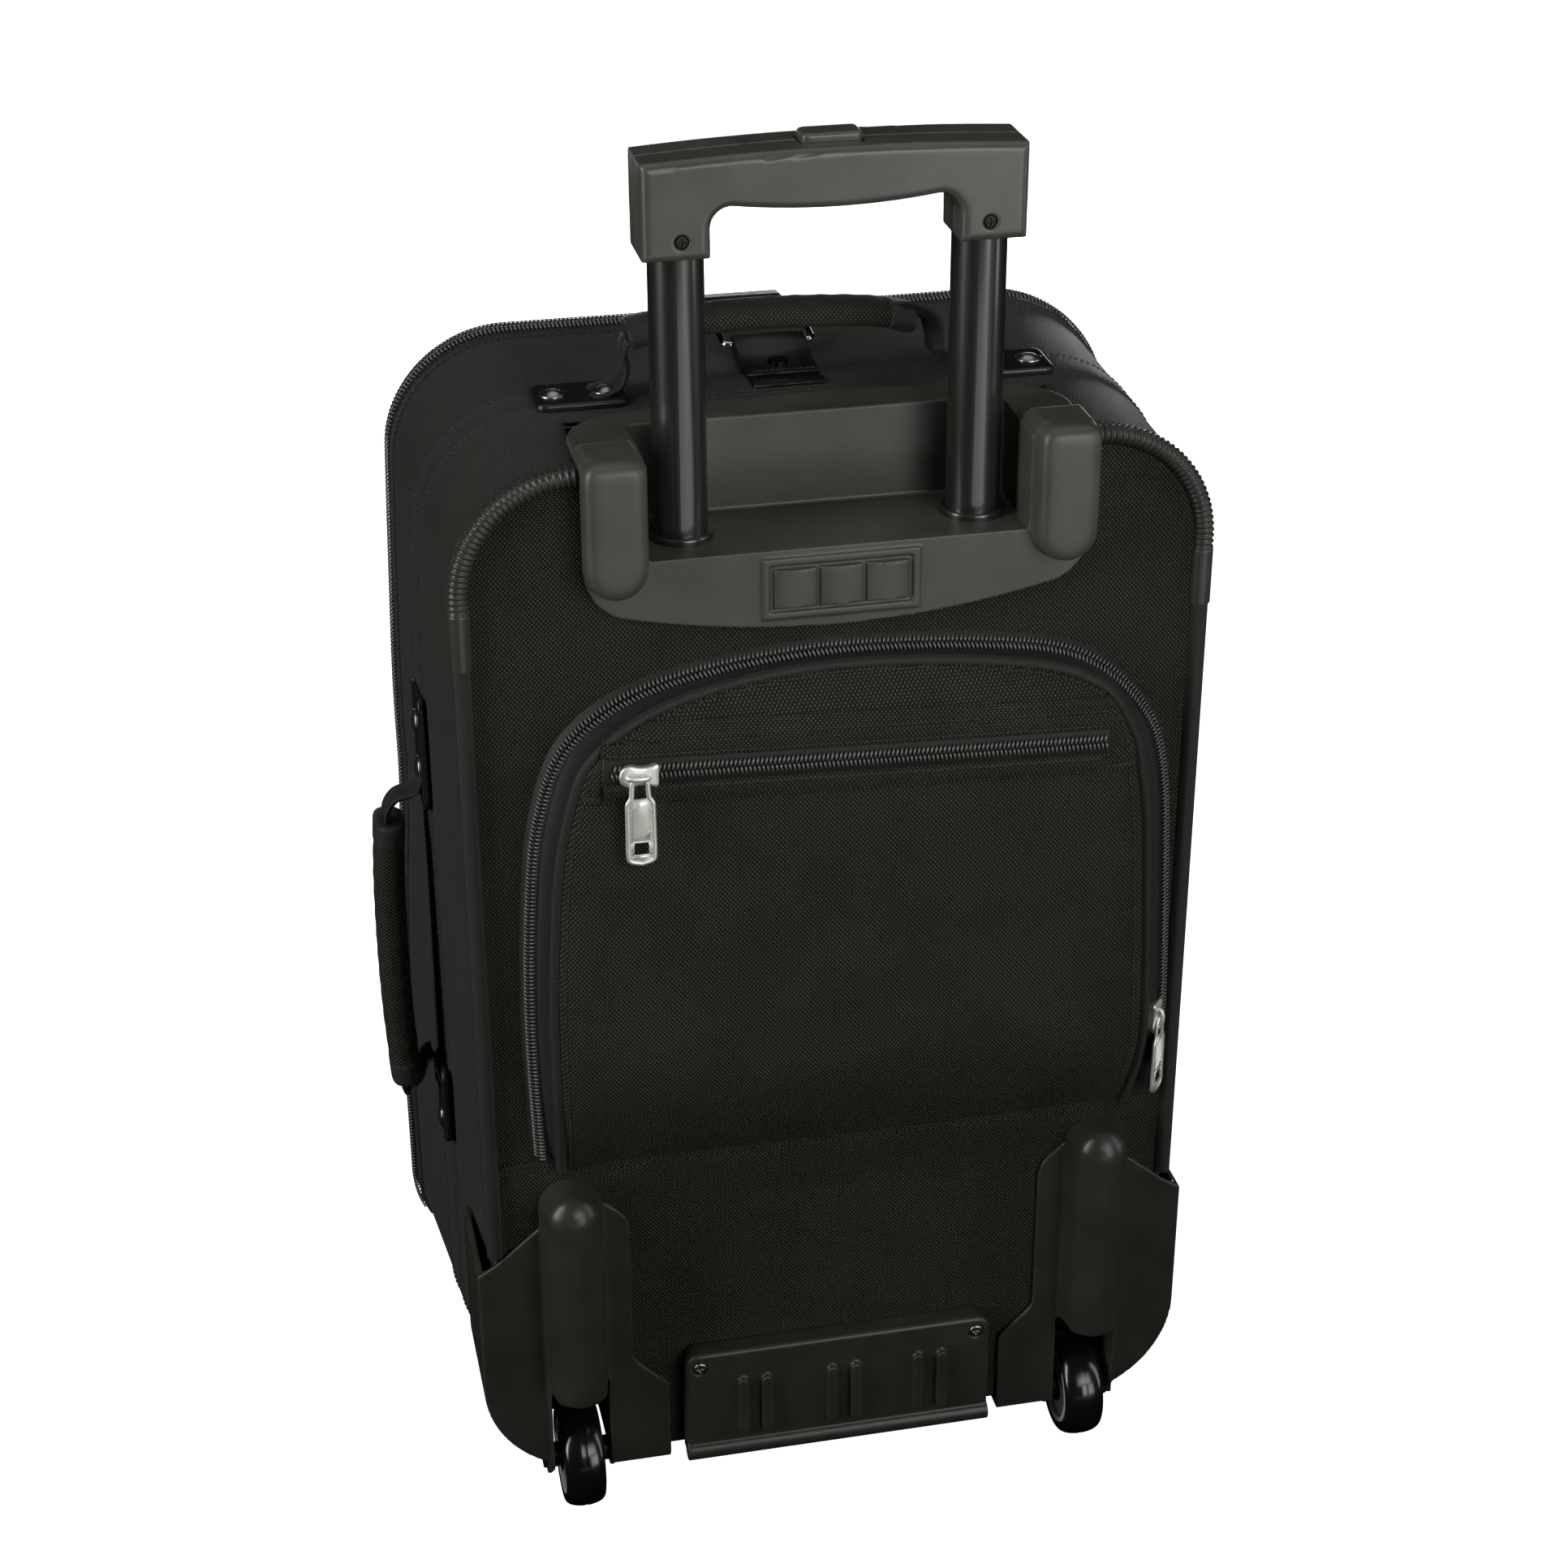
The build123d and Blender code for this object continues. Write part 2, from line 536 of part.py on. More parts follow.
def guide_tubes():
    """Fixed outer tubes, their top collars and the bracket that joins them at the bottom."""
    tubes = []
    collars = []
    for x in (-TUBE_X, TUBE_X):
        outward = 1 if x > 0 else -1
        tube = rod_z(x, TUBE_Y, (GUIDE_BOTTOM_Z, GUIDE_TOP_Z), GUIDE_BORE_R + GUIDE_WALL)
        tube -= rod_z(x, TUBE_Y, (GUIDE_BOTTOM_Z, GUIDE_TOP_Z), GUIDE_BORE_R)
        for travel in (STOWED_TRAVEL, EXTENDED_TRAVEL):
            wall = sorted((x, x + outward * 20))
            tube -= rod_x(wall, TUBE_Y, PIN_Z + travel, PIN_R + 0.3)
        tubes.append(tube)
        collar = rod_z(x, TUBE_Y, (RECESS_FLOOR_Z + 0.1, RECESS_FLOOR_Z + 3.2), 14.6)
        collar = fillet(collar.edges().group_by(Axis.Z)[-1], 1.4)
        collar += rod_z(x, TUBE_Y, (COLLAR_BARREL_BOTTOM_Z, RECESS_FLOOR_Z + 0.1), GUIDE_BORE_R - 0.05)
        collar -= rod_z(x, TUBE_Y, (COLLAR_BARREL_BOTTOM_Z - 1, 530), TUBE_R + RUNNING_CLEARANCE)
        collars.append(collar)
    save("guide_tubes", *tubes)
    save("tube_collars", *collars)
    bracket = block((-84.0, 84.0), (-38.0, -8.0), (46.0, GUIDE_BOTTOM_Z - 0.1))
    bracket = fillet(bracket.edges().filter_by(Axis.Z), 6.0)
    bracket -= block((-40.0, 40.0), (-34.0, -12.0), (44.0, GUIDE_BOTTOM_Z - 4))
    save("base_bracket", bracket)


def handle_tubes():
    """Sliding tubes, the plugs at both their ends, and the spring pins."""
    tubes = []
    plugs = []
    for x in (-TUBE_X, TUBE_X):
        outward = 1 if x > 0 else -1
        tube = rod_z(x, TUBE_Y, (TUBE_BOTTOM_Z, TUBE_TOP_Z), TUBE_R)
        tube -= rod_z(x, TUBE_Y, (TUBE_BOTTOM_Z, TUBE_TOP_Z), TUBE_R - TUBE_WALL)
        tube -= rod_x(sorted((x, x + outward * 20)), TUBE_Y, PIN_Z, PIN_R + 0.2)
        tube -= rod_y(x, (TUBE_Y, 0.0), GRIP_SCREW_Z, 1.6)
        tubes.append(tube)
        core_r = TUBE_R - TUBE_WALL - 0.05
        plug = rod_z(x, TUBE_Y, (TUBE_BOTTOM_Z, 216.0), core_r)
        plug += rod_z(x, TUBE_Y, (185.0, TUBE_BOTTOM_Z), GUIDE_BORE_R - RUNNING_CLEARANCE)
        plug -= block((x - 9.6, x + 9.6), (TUBE_Y - 2.2, TUBE_Y + 2.2), (189.5, 214.0))
        plug -= rod_z(x, TUBE_Y, (200.0, 217.0), ROD_R + 0.2)
        plug -= rod_x((x - 9.6, x + 12.0) if outward > 0 else (x - 12.0, x + 9.6), TUBE_Y, PIN_Z, PIN_R + 0.1)
        guide = rod_z(x, TUBE_Y, (638.0, 646.0), core_r) - rod_z(x, TUBE_Y, (630, 650), ROD_R + 0.2)
        plugs.extend((plug, guide))
    save("handle_tubes", *tubes)
    save("tube_plugs", *plugs)


def tongue(grow):
    """The slanted tongue of the +X pull rod, in the XZ plane about the tube's axis."""
    half = TONGUE_HALF + grow
    low, high = -7.5 - grow, 9.5 + grow
    corners = []
    for z, side in ((low, -1), (low, 1), (high, 1), (high, -1)):
        corners.append((-TONGUE_SLOPE * z + side * half, z))
    with BuildSketch(facing_front(TUBE_Y + 1.5 + grow, x=TUBE_X, z=PIN_Z)) as profile:
        with BuildLine():
            Polyline(*corners, close=True)
        make_face()
    return extrude(profile.sketch, 3.0 + 2 * grow)


def lock_pins():
    pin = rod_x((TUBE_X + PIN_TAIL, TUBE_X + PIN_TIP), TUBE_Y, PIN_Z, PIN_R) - tongue(0.3)
    right, left = both_sides(pin)
    save("lock_pin_right", right)
    save("lock_pin_left", left)


def push_button():
    """The button with its yoke, and the two pull rods."""
    button = block(
        (-BUTTON_HALF_WIDTH, BUTTON_HALF_WIDTH),
        (TUBE_Y - BUTTON_HALF_DEPTH, TUBE_Y + BUTTON_HALF_DEPTH),
        (YOKE_Z[1], BUTTON_TOP_Z),
    )
    button = fillet(button.edges().filter_by(Axis.Z), 3.0)
    button = fillet(button.edges().group_by(Axis.Z)[-1], 1.6)
    yoke = block((-TUBE_X - 4, TUBE_X + 4), (TUBE_Y - 3, TUBE_Y + 3), YOKE_Z)
    save("push_button", button + yoke)
    rod = rod_z(TUBE_X, TUBE_Y, (PIN_Z + 11.4, YOKE_Z[0] - 0.1), ROD_R)
    rod += block((TUBE_X - 8.4, TUBE_X + 2.0), (TUBE_Y - 1.5, TUBE_Y + 1.5), (PIN_Z + 9.4, PIN_Z + 11.4))
    rod += tongue(0.0)
    save("pull_rods", *both_sides(rod))


def return_springs():
    """Coil springs round the pull rods, which lift the button."""
    height = SPRING_Z[1] - SPRING_Z[0] - 2 * SPRING_WIRE_R
    path = Helix(pitch=height / 6, height=height, radius=SPRING_R)
    profile = Plane(origin=path @ 0, z_dir=path % 0) * Circle(SPRING_WIRE_R)
    coil = Pos(TUBE_X, TUBE_Y, SPRING_Z[0] + SPRING_WIRE_R) * sweep(profile, path, is_frenet=True)
    save("return_springs", *both_sides(coil))


def grip_profile(grow=0.0):
    """The grip's front view: a bar with two legs and a rounded arch between them."""
    inner = LEG_INNER_X + grow
    with BuildSketch(facing_front(TUBE_Y, x=0.0)) as sketch:
        with BuildLine():
            foot = Line((GRIP_HALF_WIDTH - grow, GRIP_BOTTOM_Z), (inner, GRIP_BOTTOM_Z))
            leg = Line(foot @ 1, (inner, GRIP_UNDERSIDE_Z + 1.6 - GRIP_INNER_R))
            bend = RadiusArc(leg @ 1, (inner - GRIP_INNER_R, GRIP_UNDERSIDE_Z + 1.6), -GRIP_INNER_R)
            under = ThreePointArc(bend @ 1, (0, GRIP_UNDERSIDE_Z - 1.4), (GRIP_INNER_R - inner, GRIP_UNDERSIDE_Z + 1.6))
            bend2 = RadiusArc(under @ 1, (-inner, GRIP_UNDERSIDE_Z + 1.6 - GRIP_INNER_R), -GRIP_INNER_R)
            leg2 = Line(bend2 @ 1, (-inner, GRIP_BOTTOM_Z))
            foot2 = Line(leg2 @ 1, (-GRIP_HALF_WIDTH + grow, GRIP_BOTTOM_Z))
            side2 = Line(foot2 @ 1, (-GRIP_HALF_WIDTH + grow, GRIP_END_Z))
            crown = ThreePointArc(side2 @ 1, (0, GRIP_CROWN_Z), (GRIP_HALF_WIDTH - grow, GRIP_END_Z))
            Line(crown @ 1, foot @ 0)
        make_face()
    return sketch.sketch


def grip():
    """The grip's rear and front halves, with the channel for the yoke and the button."""
    bar = Pos(0, GRIP_HALF_DEPTH, 0) * extrude(grip_profile(), 2 * GRIP_HALF_DEPTH)
    bar = fillet(bar.edges().group_by(Axis.Y)[0], 4.0)
    bar = fillet(bar.edges().group_by(Axis.Y)[-1], 4.0)
    channel = block((-70.2, 70.2), (TUBE_Y - 3.4, TUBE_Y + 3.4), (YOKE_Z[0] - BUTTON_TRAVEL - 0.6, YOKE_Z[1] + 0.4))
    shaft = block((-13.4, 13.4), (TUBE_Y - 7.4, TUBE_Y + 7.4), (YOKE_Z[1] - BUTTON_TRAVEL - 0.5, 700.0))
    bar = bar - channel - shaft
    for x in (-TUBE_X, TUBE_X):
        bar -= rod_z(x, TUBE_Y, (GRIP_BOTTOM_Z - 5, TUBE_TOP_Z + 0.1), TUBE_R + 0.05)
        bar -= rod_z(x, TUBE_Y, (TUBE_TOP_Z, YOKE_Z[0]), SPRING_R + SPRING_WIRE_R + 0.4)
        bar -= rod_y(x, (TUBE_Y, 20.0), GRIP_SCREW_Z, 1.55)
        bar -= rod_y(x, (TUBE_Y + GRIP_HALF_DEPTH - 2.4, 20.0), GRIP_SCREW_Z, 3.2)
    groove = block((-200, 200), (TUBE_Y - 0.1, TUBE_Y + 0.1), (600, 700))
    bar -= groove
    save("grip_rear", bar & block((-200, 200), (TUBE_Y, 100), (600, 700)))
    save("grip_front", bar & block((-200, 200), (-200, TUBE_Y), (600, 700)))
    screws = []
    for x in (-TUBE_X, TUBE_X):
        seat = Pos(x, TUBE_Y + GRIP_HALF_DEPTH - 2.4, GRIP_SCREW_Z) * Rot(-90, 0, 0)
        screws.append(seat * screw(2.9, 1.8, 1.5, 6.5))
    save("grip_screws", *screws)


def wheel_housings():
    """The corner mouldings: rear flange, side and bottom wrap, wheel well, and the rear bump."""
    rear = 0.3 + HOUSING_SKIN
    flange_points = [
        (84.0, 20.0),
        (84.0, 72.6),
        (101.5, 89.6),
        (101.5, 174.6),
        (123.0, HOUSING_TOP_Z),
        (166.0, 156.6),
        (180.0, 148.0),
        (180.0, 20.0),
    ]
    face = facing_front(rear) * make_face(Polyline(*flange_points, close=True))
    for (x, z), radius in zip(flange_points[1:6], FLANGE_CORNER_R):
        face = fillet(face.vertices().sort_by_distance((x, rear, z))[0], radius)
    height = CASE_TOP - HOUSING_BOTTOM_Z
    over = RectangleRounded(2 * HOUSING_OUTER_X, height, CORNER_R + HOUSING_SKIN)
    under = RectangleRounded(2 * (HOUSING_OUTER_X - HOUSING_SKIN), height - 2 * HOUSING_SKIN, CORNER_R)
    middle = HOUSING_BOTTOM_Z + height / 2
    over_slab = extrude(facing_front(rear, z=middle) * over, rear - HOUSING_WRAP_Y)
    under_slab = extrude(facing_front(0.3, z=middle) * under, -HOUSING_WRAP_Y + 10)
    prism = extrude(face, rear - HOUSING_WRAP_Y)
    housing = (over_slab - under_slab) & prism
    well_outer = well_box(WELL_WALL) & block((0, 300), (-100, rear), (HOUSING_BOTTOM_Z, 200))
    housing += well_outer
    housing += bump(0.0, BUMP_Y)
    housing -= bump(WELL_WALL, BUMP_Y - WELL_WALL) & block((0, 300), (0.3, 60), (WELL_TOP_Z - 1, 300))
    housing -= well_box()
    for x in (WHEEL_X - WELL_HALF_WIDTH - WELL_WALL, WHEEL_X + WELL_HALF_WIDTH):
        lug = rod_x((x, x + WELL_WALL), WHEEL_Y, WHEEL_R, 9.0)
        lug += block((x, x + WELL_WALL), (WHEEL_Y - 9.0, WHEEL_Y + 9.0), (WHEEL_R, 40.0))
        housing += lug
    housing -= rod_x((100, 160), WHEEL_Y, WHEEL_R, AXLE_R + 0.02)
    inner = WHEEL_X - WELL_HALF_WIDTH - WELL_WALL
    outer = WHEEL_X + WELL_HALF_WIDTH + WELL_WALL
    for beyond in ((inner - 8.0, inner), (outer, outer + 8.0)):
        housing -= rod_x(beyond, WHEEL_Y, WHEEL_R, AXLE_HEAD_R + 0.6)
    save("wheel_housings", *both_sides(housing))


def bump(inset, y):
    """The tall round-topped bump behind the +X wheel, tapering slightly towards the rear."""
    half = BUMP_HALF_WIDTH - inset
    wires = []
    for depth, narrower in ((0.3, 0.0), (y, 3.0)):
        width = half - narrower
        plane = facing_front(depth, x=WHEEL_X + 1.0)
        top = BUMP_TOP_Z - inset - narrower
        with BuildSketch(plane) as face:
            with BuildLine():
                up = Line((width, HOUSING_BOTTOM_Z + 4), (width, top - width))
                over = ThreePointArc(up @ 1, (0, top), (-width, top - width))
                down = Line(over @ 1, (-width, HOUSING_BOTTOM_Z + 4))
                Line(down @ 1, up @ 0)
            make_face()
        wires.append(face.sketch.face().outer_wire())
    return Solid.make_loft(wires, ruled=True)


def wheels():
    """Inline wheels: polyurethane tyre, hub and two ball bearings each; axles and spacers."""
    axles = []
    spacers = []
    for side, x in (("right", WHEEL_X), ("left", -WHEEL_X)):
        turn = Pos(x, WHEEL_Y, WHEEL_R) * Rot(0, 90, 0)
        half = WHEEL_WIDTH / 2
        with BuildSketch(Plane.XZ) as section:
            with BuildLine():
                base = Line((HUB_R, -half + 1), (HUB_R, half - 1))
                ThreePointArc(base @ 1, (WHEEL_R, 0), base @ 0)
            make_face()
        tyre = revolve(section.sketch, Axis.Z)
        save(f"wheel_tyre_{side}", turn * tyre)
        hub = Cylinder(HUB_R - 0.05, WHEEL_WIDTH - 3)
        for end in (-1, 1):
            hub -= Pos(0, 0, end * (half - 1.5)) * (Cylinder(HUB_R - 2.4, 5.0) - Cylinder(BEARING_R + 2.2, 5.0))
            hub -= Pos(0, 0, end * (half - 1.5)) * Cylinder(BEARING_R, 2 * BEARING_WIDTH - 2.6)
        hub -= Cylinder(6.0, WHEEL_WIDTH)
        save(f"wheel_hub_{side}", turn * hub)
        bearing_z = half - 1.5 - (BEARING_WIDTH - 1.3) / 2
        ring = Cylinder(BEARING_R - 0.02, BEARING_WIDTH - 1.4) - Cylinder(AXLE_R + 0.05, BEARING_WIDTH)
        bearings = [turn * Pos(0, 0, end * bearing_z) * ring for end in (-1, 1)]
        save(f"wheel_bearings_{side}", *bearings)
        inner = x - WELL_HALF_WIDTH - WELL_WALL
        outer = x + WELL_HALF_WIDTH + WELL_WALL
        axle = rod_x((inner - 0.1, outer + 0.1), WHEEL_Y, WHEEL_R, AXLE_R)
        axle += rod_x((inner - 1.6, inner - 0.1), WHEEL_Y, WHEEL_R, AXLE_HEAD_R)
        axle += rod_x((outer + 0.1, outer + 1.6), WHEEL_Y, WHEEL_R, AXLE_HEAD_R)
        axles.append(axle)
        for end in (-1, 1):
            limits = sorted((x + end * (half - 1.3), x + end * (WELL_HALF_WIDTH - 0.1)))
            ring = rod_x(limits, WHEEL_Y, WHEEL_R, 6.2) - rod_x((x - 20, x + 20), WHEEL_Y, WHEEL_R, AXLE_R + 0.02)
            spacers.append(ring)
    save("wheel_axles", *axles)
    save("axle_spacers", *spacers)


def skid_plate():
    """The plate between the wheels, with three pairs of ribs and a rolled lip."""
    plate = block((-SKID_HALF_WIDTH, SKID_HALF_WIDTH), (0.3, SKID_Y - 3), (SKID_Z[0] + 3, SKID_Z[1]))
    plate = fillet(plate.edges().filter_by(Axis.Y).group_by(Axis.Z)[-1], 7.0)
    plate = fillet(plate.edges().group_by(Axis.Y)[-1], 2.4)
    plate += rod_x((-SKID_HALF_WIDTH, SKID_HALF_WIDTH), SKID_Y - 5.0, SKID_Z[0] + 5.0, 5.0)
    plate -= block((-SKID_HALF_WIDTH + 3, SKID_HALF_WIDTH - 3), (-1, SKID_Y - 6), (SKID_Z[0] + 8, SKID_Z[1] - 3))
    for pair_x in (43.0, -2.0, -46.0):
        for x in (pair_x - 6.0, pair_x + 6.0):
            rib = block((x - 2.5, x + 2.5), (SKID_Y - 3.2, SKID_Y), (44.0, 74.0))
            rib += rod_y(x, (SKID_Y - 3.2, SKID_Y), 74.0, 2.5)
            plate += rib
    for x in (-70.0, 70.0):
        plate -= rod_y(x, (-2, SKID_Y), 84.6, 1.9)
        plate -= rod_y(x, (SKID_Y - 4.4, SKID_Y + 4), 84.6, 3.8)
    save("skid_plate", plate)


def front_feet():
    foot = block((FOOT_X - 26, FOOT_X + 26), FOOT_Y, (0.0, CASE_BOTTOM - 0.1))
    foot = chamfer(foot.edges().group_by(Axis.Z)[0], 5.0)
    save("front_feet", *both_sides(foot))


def housing_screws():
    """Cross-head screws of the skid plate and the wheel housings."""
    screws = []
    small = screw(3.4, 1.8, 1.8, 9.0)
    for x in (-70.0, 70.0):
        screws.append(Pos(x, SKID_Y - 4.4, 84.6) * Rot(-90, 0, 0) * small)
    save("housing_screws", *screws)


def plate(length, width):
    """A handle plate lying on the XY plane, centred, with rounded ends."""
    shape = extrude(RectangleRounded(length, width, 5.0), PLATE_THICKNESS)
    return fillet(shape.edges().group_by(Axis.Z)[-1], 1.2)


def carry_handles():
    """Plates and screws of the two carry handles, and the padded grips with their webbing."""
    plates = []
    screws = []
    bolt = screw(3.6, 1.8, 1.8, 5.0)
    top_z = CASE_TOP + 0.2
    for x in (-98.0, 98.0):
        seat = plate(42.0, 29.0)
        for screw_x in (-12.0, 12.0):
            at = Pos(screw_x, 0, 0)
            seat -= at * Cylinder(1.9, 20)
            place = Pos(x, TOP_HANDLE_Y, top_z)
            screws.append(place * at * Pos(0, 0, PLATE_THICKNESS) * bolt)
        plates.append(Pos(x, TOP_HANDLE_Y, top_z) * seat)
    out = Rot(0, 90, 0)
    side_x = MIDDLE_HALF_WIDTH + 0.6
    for z, length in ((194.6, 42.0), (388.6, 58.0)):
        seat = plate(length, 29.0)
        for along in (-12.0, 12.0):
            at = Pos(along, 0, 0)
            seat -= at * Cylinder(1.9, 20)
            screws.append(Pos(side_x, SIDE_HANDLE_Y, z) * out * at * Pos(0, 0, PLATE_THICKNESS) * bolt)
        plates.append(Pos(side_x, SIDE_HANDLE_Y, z) * out * seat)
    save("handle_plates", *plates)
    save("plate_screws", *screws)
    NODES["gusset_top"] = drill(NODES["gusset_top"], [s for s in screws if s.center().Z > 500])
    NODES["gusset_sides"] = drill(NODES["gusset_sides"], [s for s in screws if s.center().Z < 500])

    grip_body = block((-53.0, 78.0), (TOP_HANDLE_Y - 12, TOP_HANDLE_Y + 12), (573.0, 597.0))
    grip_body = fillet(grip_body.edges().filter_by(Axis.X), 9.0)
    web_right = block((74.0, 77.0), (TOP_HANDLE_Y - 12, TOP_HANDLE_Y + 12), (557.0, 580.0))
    web_left = webbing((-76.0, 558.5), (-52.0, 580.0), TOP_HANDLE_Y, 24.0, 3.0)
    save("top_grip", grip_body + web_right + web_left)

    grip_body = block((188.0, 205.0), (SIDE_HANDLE_Y - 12, SIDE_HANDLE_Y + 12), (206.0, 353.0))
    grip_body = fillet(grip_body.edges().filter_by(Axis.Z), 7.0)
    lower = webbing((184.6, 198.0), (199.0, 212.0), SIDE_HANDLE_Y, 24.0, 3.0)
    upper = webbing((195.0, 345.0), (183.6, 365.0), SIDE_HANDLE_Y, 24.0, 3.0)
    save("side_grip", grip_body + lower + upper)


def drill(shape, tools):
    for tool in tools:
        shape = shape - tool
    solids = shape.solids()
    return Compound(children=solids) if len(solids) > 1 else solids[0]


def webbing(start, end, y, width, thickness):
    """A straight flat strap between two points of the XZ plane."""
    along = (end[0] - start[0], end[1] - start[1])
    length = hypot(*along)
    strap = Box(length, width, thickness)
    middle = Pos((start[0] + end[0]) / 2, y, (start[1] + end[1]) / 2)
    return middle * Rot(0, -degrees(atan2(along[1], along[0])), 0) * strap


def leather_tab():
    """The riveted leather tab on the top and the rectangular ring that it holds."""
    hinge_y, hinge_z = RING_HINGE
    limits_x = (TAB_CENTRE_X - 17.0, TAB_CENTRE_X + 17.0)
    strap = block(limits_x, (hinge_y, -86.0), (CASE_TOP + 0.2, CASE_TOP + 3.2))
    loop = rod_x(limits_x, hinge_y, hinge_z, 5.0)
    tab = strap + loop - rod_x((-40, 40), hinge_y, hinge_z, RING_WIRE_R + 0.4)
    tab -= rod_z(TAB_CENTRE_X, -112.0, (550, 570), 1.6)
    tab -= block((-40, 40), (-150, -80), (500, CASE_TOP + 0.2))
    save("leather_tab", tab)
    rivet = rod_z(TAB_CENTRE_X, -112.0, (CASE_TOP + 0.3, CASE_TOP + 3.2), 1.5)
    rivet += rod_z(TAB_CENTRE_X, -112.0, (CASE_TOP + 3.2, CASE_TOP + 4.6), 4.6)
    save("tab_rivet", rivet)
    half = 21.0
    depth = 19.0
    plane = Plane.XY.offset(hinge_z) * Pos(TAB_CENTRE_X, hinge_y - depth / 2)
    path = (plane * RectangleRounded(2 * half, depth, 3.4)).face().outer_wire()
    profile = Plane(origin=path @ 0, z_dir=path % 0) * Circle(RING_WIRE_R)
    ring = sweep(profile, path, transition=Transition.ROUND)
    save("tab_ring", Pos(0, hinge_y, hinge_z) * Rot(-8, 0, 0) * Pos(0, -hinge_y, -hinge_z) * ring)


def build():
    gusset()
    stiffener_boards()
    lining_panel()
    tie_straps()
    wire_frame()
    piping()
    main_zip()
    lid()
    back_pocket()
    zip_sliders()
    trolley_cup()
    guide_tubes()
    handle_tubes()
    lock_pins()
    push_button()
    return_springs()
    grip()
    wheel_housings()
    wheels()
    skid_plate()
    front_feet()
    housing_screws()
    carry_handles()
    leather_tab()
    os.makedirs("parts", exist_ok=True)
    for name, shape in NODES.items():
        export_step(shape, f"parts/{name}.step")


build()
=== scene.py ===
"""Looks of the softside upright suitcase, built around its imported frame.

Helpers and pieces are worked out in millimetres in the frame's own axes: +Z is up, +Y is the back
with the telescopic handle, -Y is the front with the lid, and +X is the side with the carry handle.
"""

import json
import math

import bmesh
import bpy
import numpy as np
from mathutils import Matrix, Vector
from mathutils.bvhtree import BVHTree


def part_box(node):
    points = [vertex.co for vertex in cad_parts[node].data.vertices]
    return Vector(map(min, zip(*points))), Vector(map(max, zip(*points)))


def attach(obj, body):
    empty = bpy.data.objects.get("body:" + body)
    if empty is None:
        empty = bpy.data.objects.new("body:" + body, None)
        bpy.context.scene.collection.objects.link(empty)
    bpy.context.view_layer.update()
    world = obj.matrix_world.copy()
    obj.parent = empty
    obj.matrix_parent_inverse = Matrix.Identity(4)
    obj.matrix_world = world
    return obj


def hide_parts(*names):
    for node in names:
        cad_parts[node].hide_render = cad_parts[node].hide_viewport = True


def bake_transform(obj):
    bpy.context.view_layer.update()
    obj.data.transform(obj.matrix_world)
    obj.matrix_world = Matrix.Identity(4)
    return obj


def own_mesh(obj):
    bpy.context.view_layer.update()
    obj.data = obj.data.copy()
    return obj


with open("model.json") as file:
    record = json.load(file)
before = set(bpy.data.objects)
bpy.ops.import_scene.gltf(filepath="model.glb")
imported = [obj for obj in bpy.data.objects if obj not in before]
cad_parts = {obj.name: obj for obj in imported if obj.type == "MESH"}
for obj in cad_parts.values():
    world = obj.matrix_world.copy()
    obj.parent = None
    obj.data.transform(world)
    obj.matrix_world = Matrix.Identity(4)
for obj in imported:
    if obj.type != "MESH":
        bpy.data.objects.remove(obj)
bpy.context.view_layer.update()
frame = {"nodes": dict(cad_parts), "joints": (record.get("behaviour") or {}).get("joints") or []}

MM = 0.001
UP = np.array([0.0, 0.0, 1.0])
BACKWARDS = np.array([0.0, 1.0, 0.0])


def span(node):
    """A CAD node's lowest and highest corners."""
    low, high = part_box(node)
    return np.array(low) / MM, np.array(high) / MM


# The case's outline and the depths of its seams, from the frame
LID_LOW, LID_HIGH = span("lid_shell")
PIPING_LOW, PIPING_HIGH = span("back_piping")
CUP_LOW, CUP_HIGH = span("trolley_cup")
HOUSING_LOW, HOUSING_HIGH = span("wheel_housings")
POCKET_LOW, POCKET_HIGH = span("back_pocket")
U_ZIP_LOW, U_ZIP_HIGH = span("back_pocket_zips")
PIPING_R = PIPING_HIGH[1]
BACK_HALF = PIPING_HIGH[0] - PIPING_R
CASE_BOTTOM, CASE_TOP = LID_LOW[2], LID_HIGH[2]
CORNER_R = 52.0
BACK_Y = -5.0
ZIP_Y = (LID_HIGH[1] + span("gusset_top")[0][1]) / 2
LID_FACE_Y = LID_LOW[1]
ZIP_END_Z = span("main_zip_case")[0][2]
PROTECTOR_END_Z = span("corner_protectors")[0][2]
WELL_IN = span("wheel_tyre_right")[0][0] - 9.0
WELL_OUT = span("wheel_tyre_right")[1][0] + 9.0
WELL_TOP, WELL_FRONT = 84.4, -48.6
RECESS_Z = 500.0
TRIM_Y = (-81.0, -106.0)


# ---------------------------------------------------------------- shapes in numbers


def unit(vectors):
    """Vectors scaled to length one."""
    vectors = np.asarray(vectors, float)
    return vectors / np.maximum(np.linalg.norm(vectors, axis=-1, keepdims=True), 1e-9)


def xyz(x, y, z):
    """Points from their coordinates, any of which may be one number for all."""
    return np.stack(np.broadcast_arrays(x, y, z), -1).astype(float)


def at_depth(y, pairs):
    """Points at one depth from pairs of x and z."""
    return [(x, y, z) for x, z in pairs]


def travelled(steps):
    """Distances along a line from the lengths of its steps."""
    return np.concatenate([[0.0], np.cumsum(steps)])


def resampled(at, known, rows):
    """Rows of values read off at new distances."""
    return np.stack([np.interp(at, known, column) for column in np.transpose(rows)], 1)


def smooth(x, low, high):
    """A smooth step from 0 at low to 1 at high."""
    t = np.clip((np.asarray(x, float) - low) / (high - low), 0, 1)
    return t * t * (3 - 2 * t)


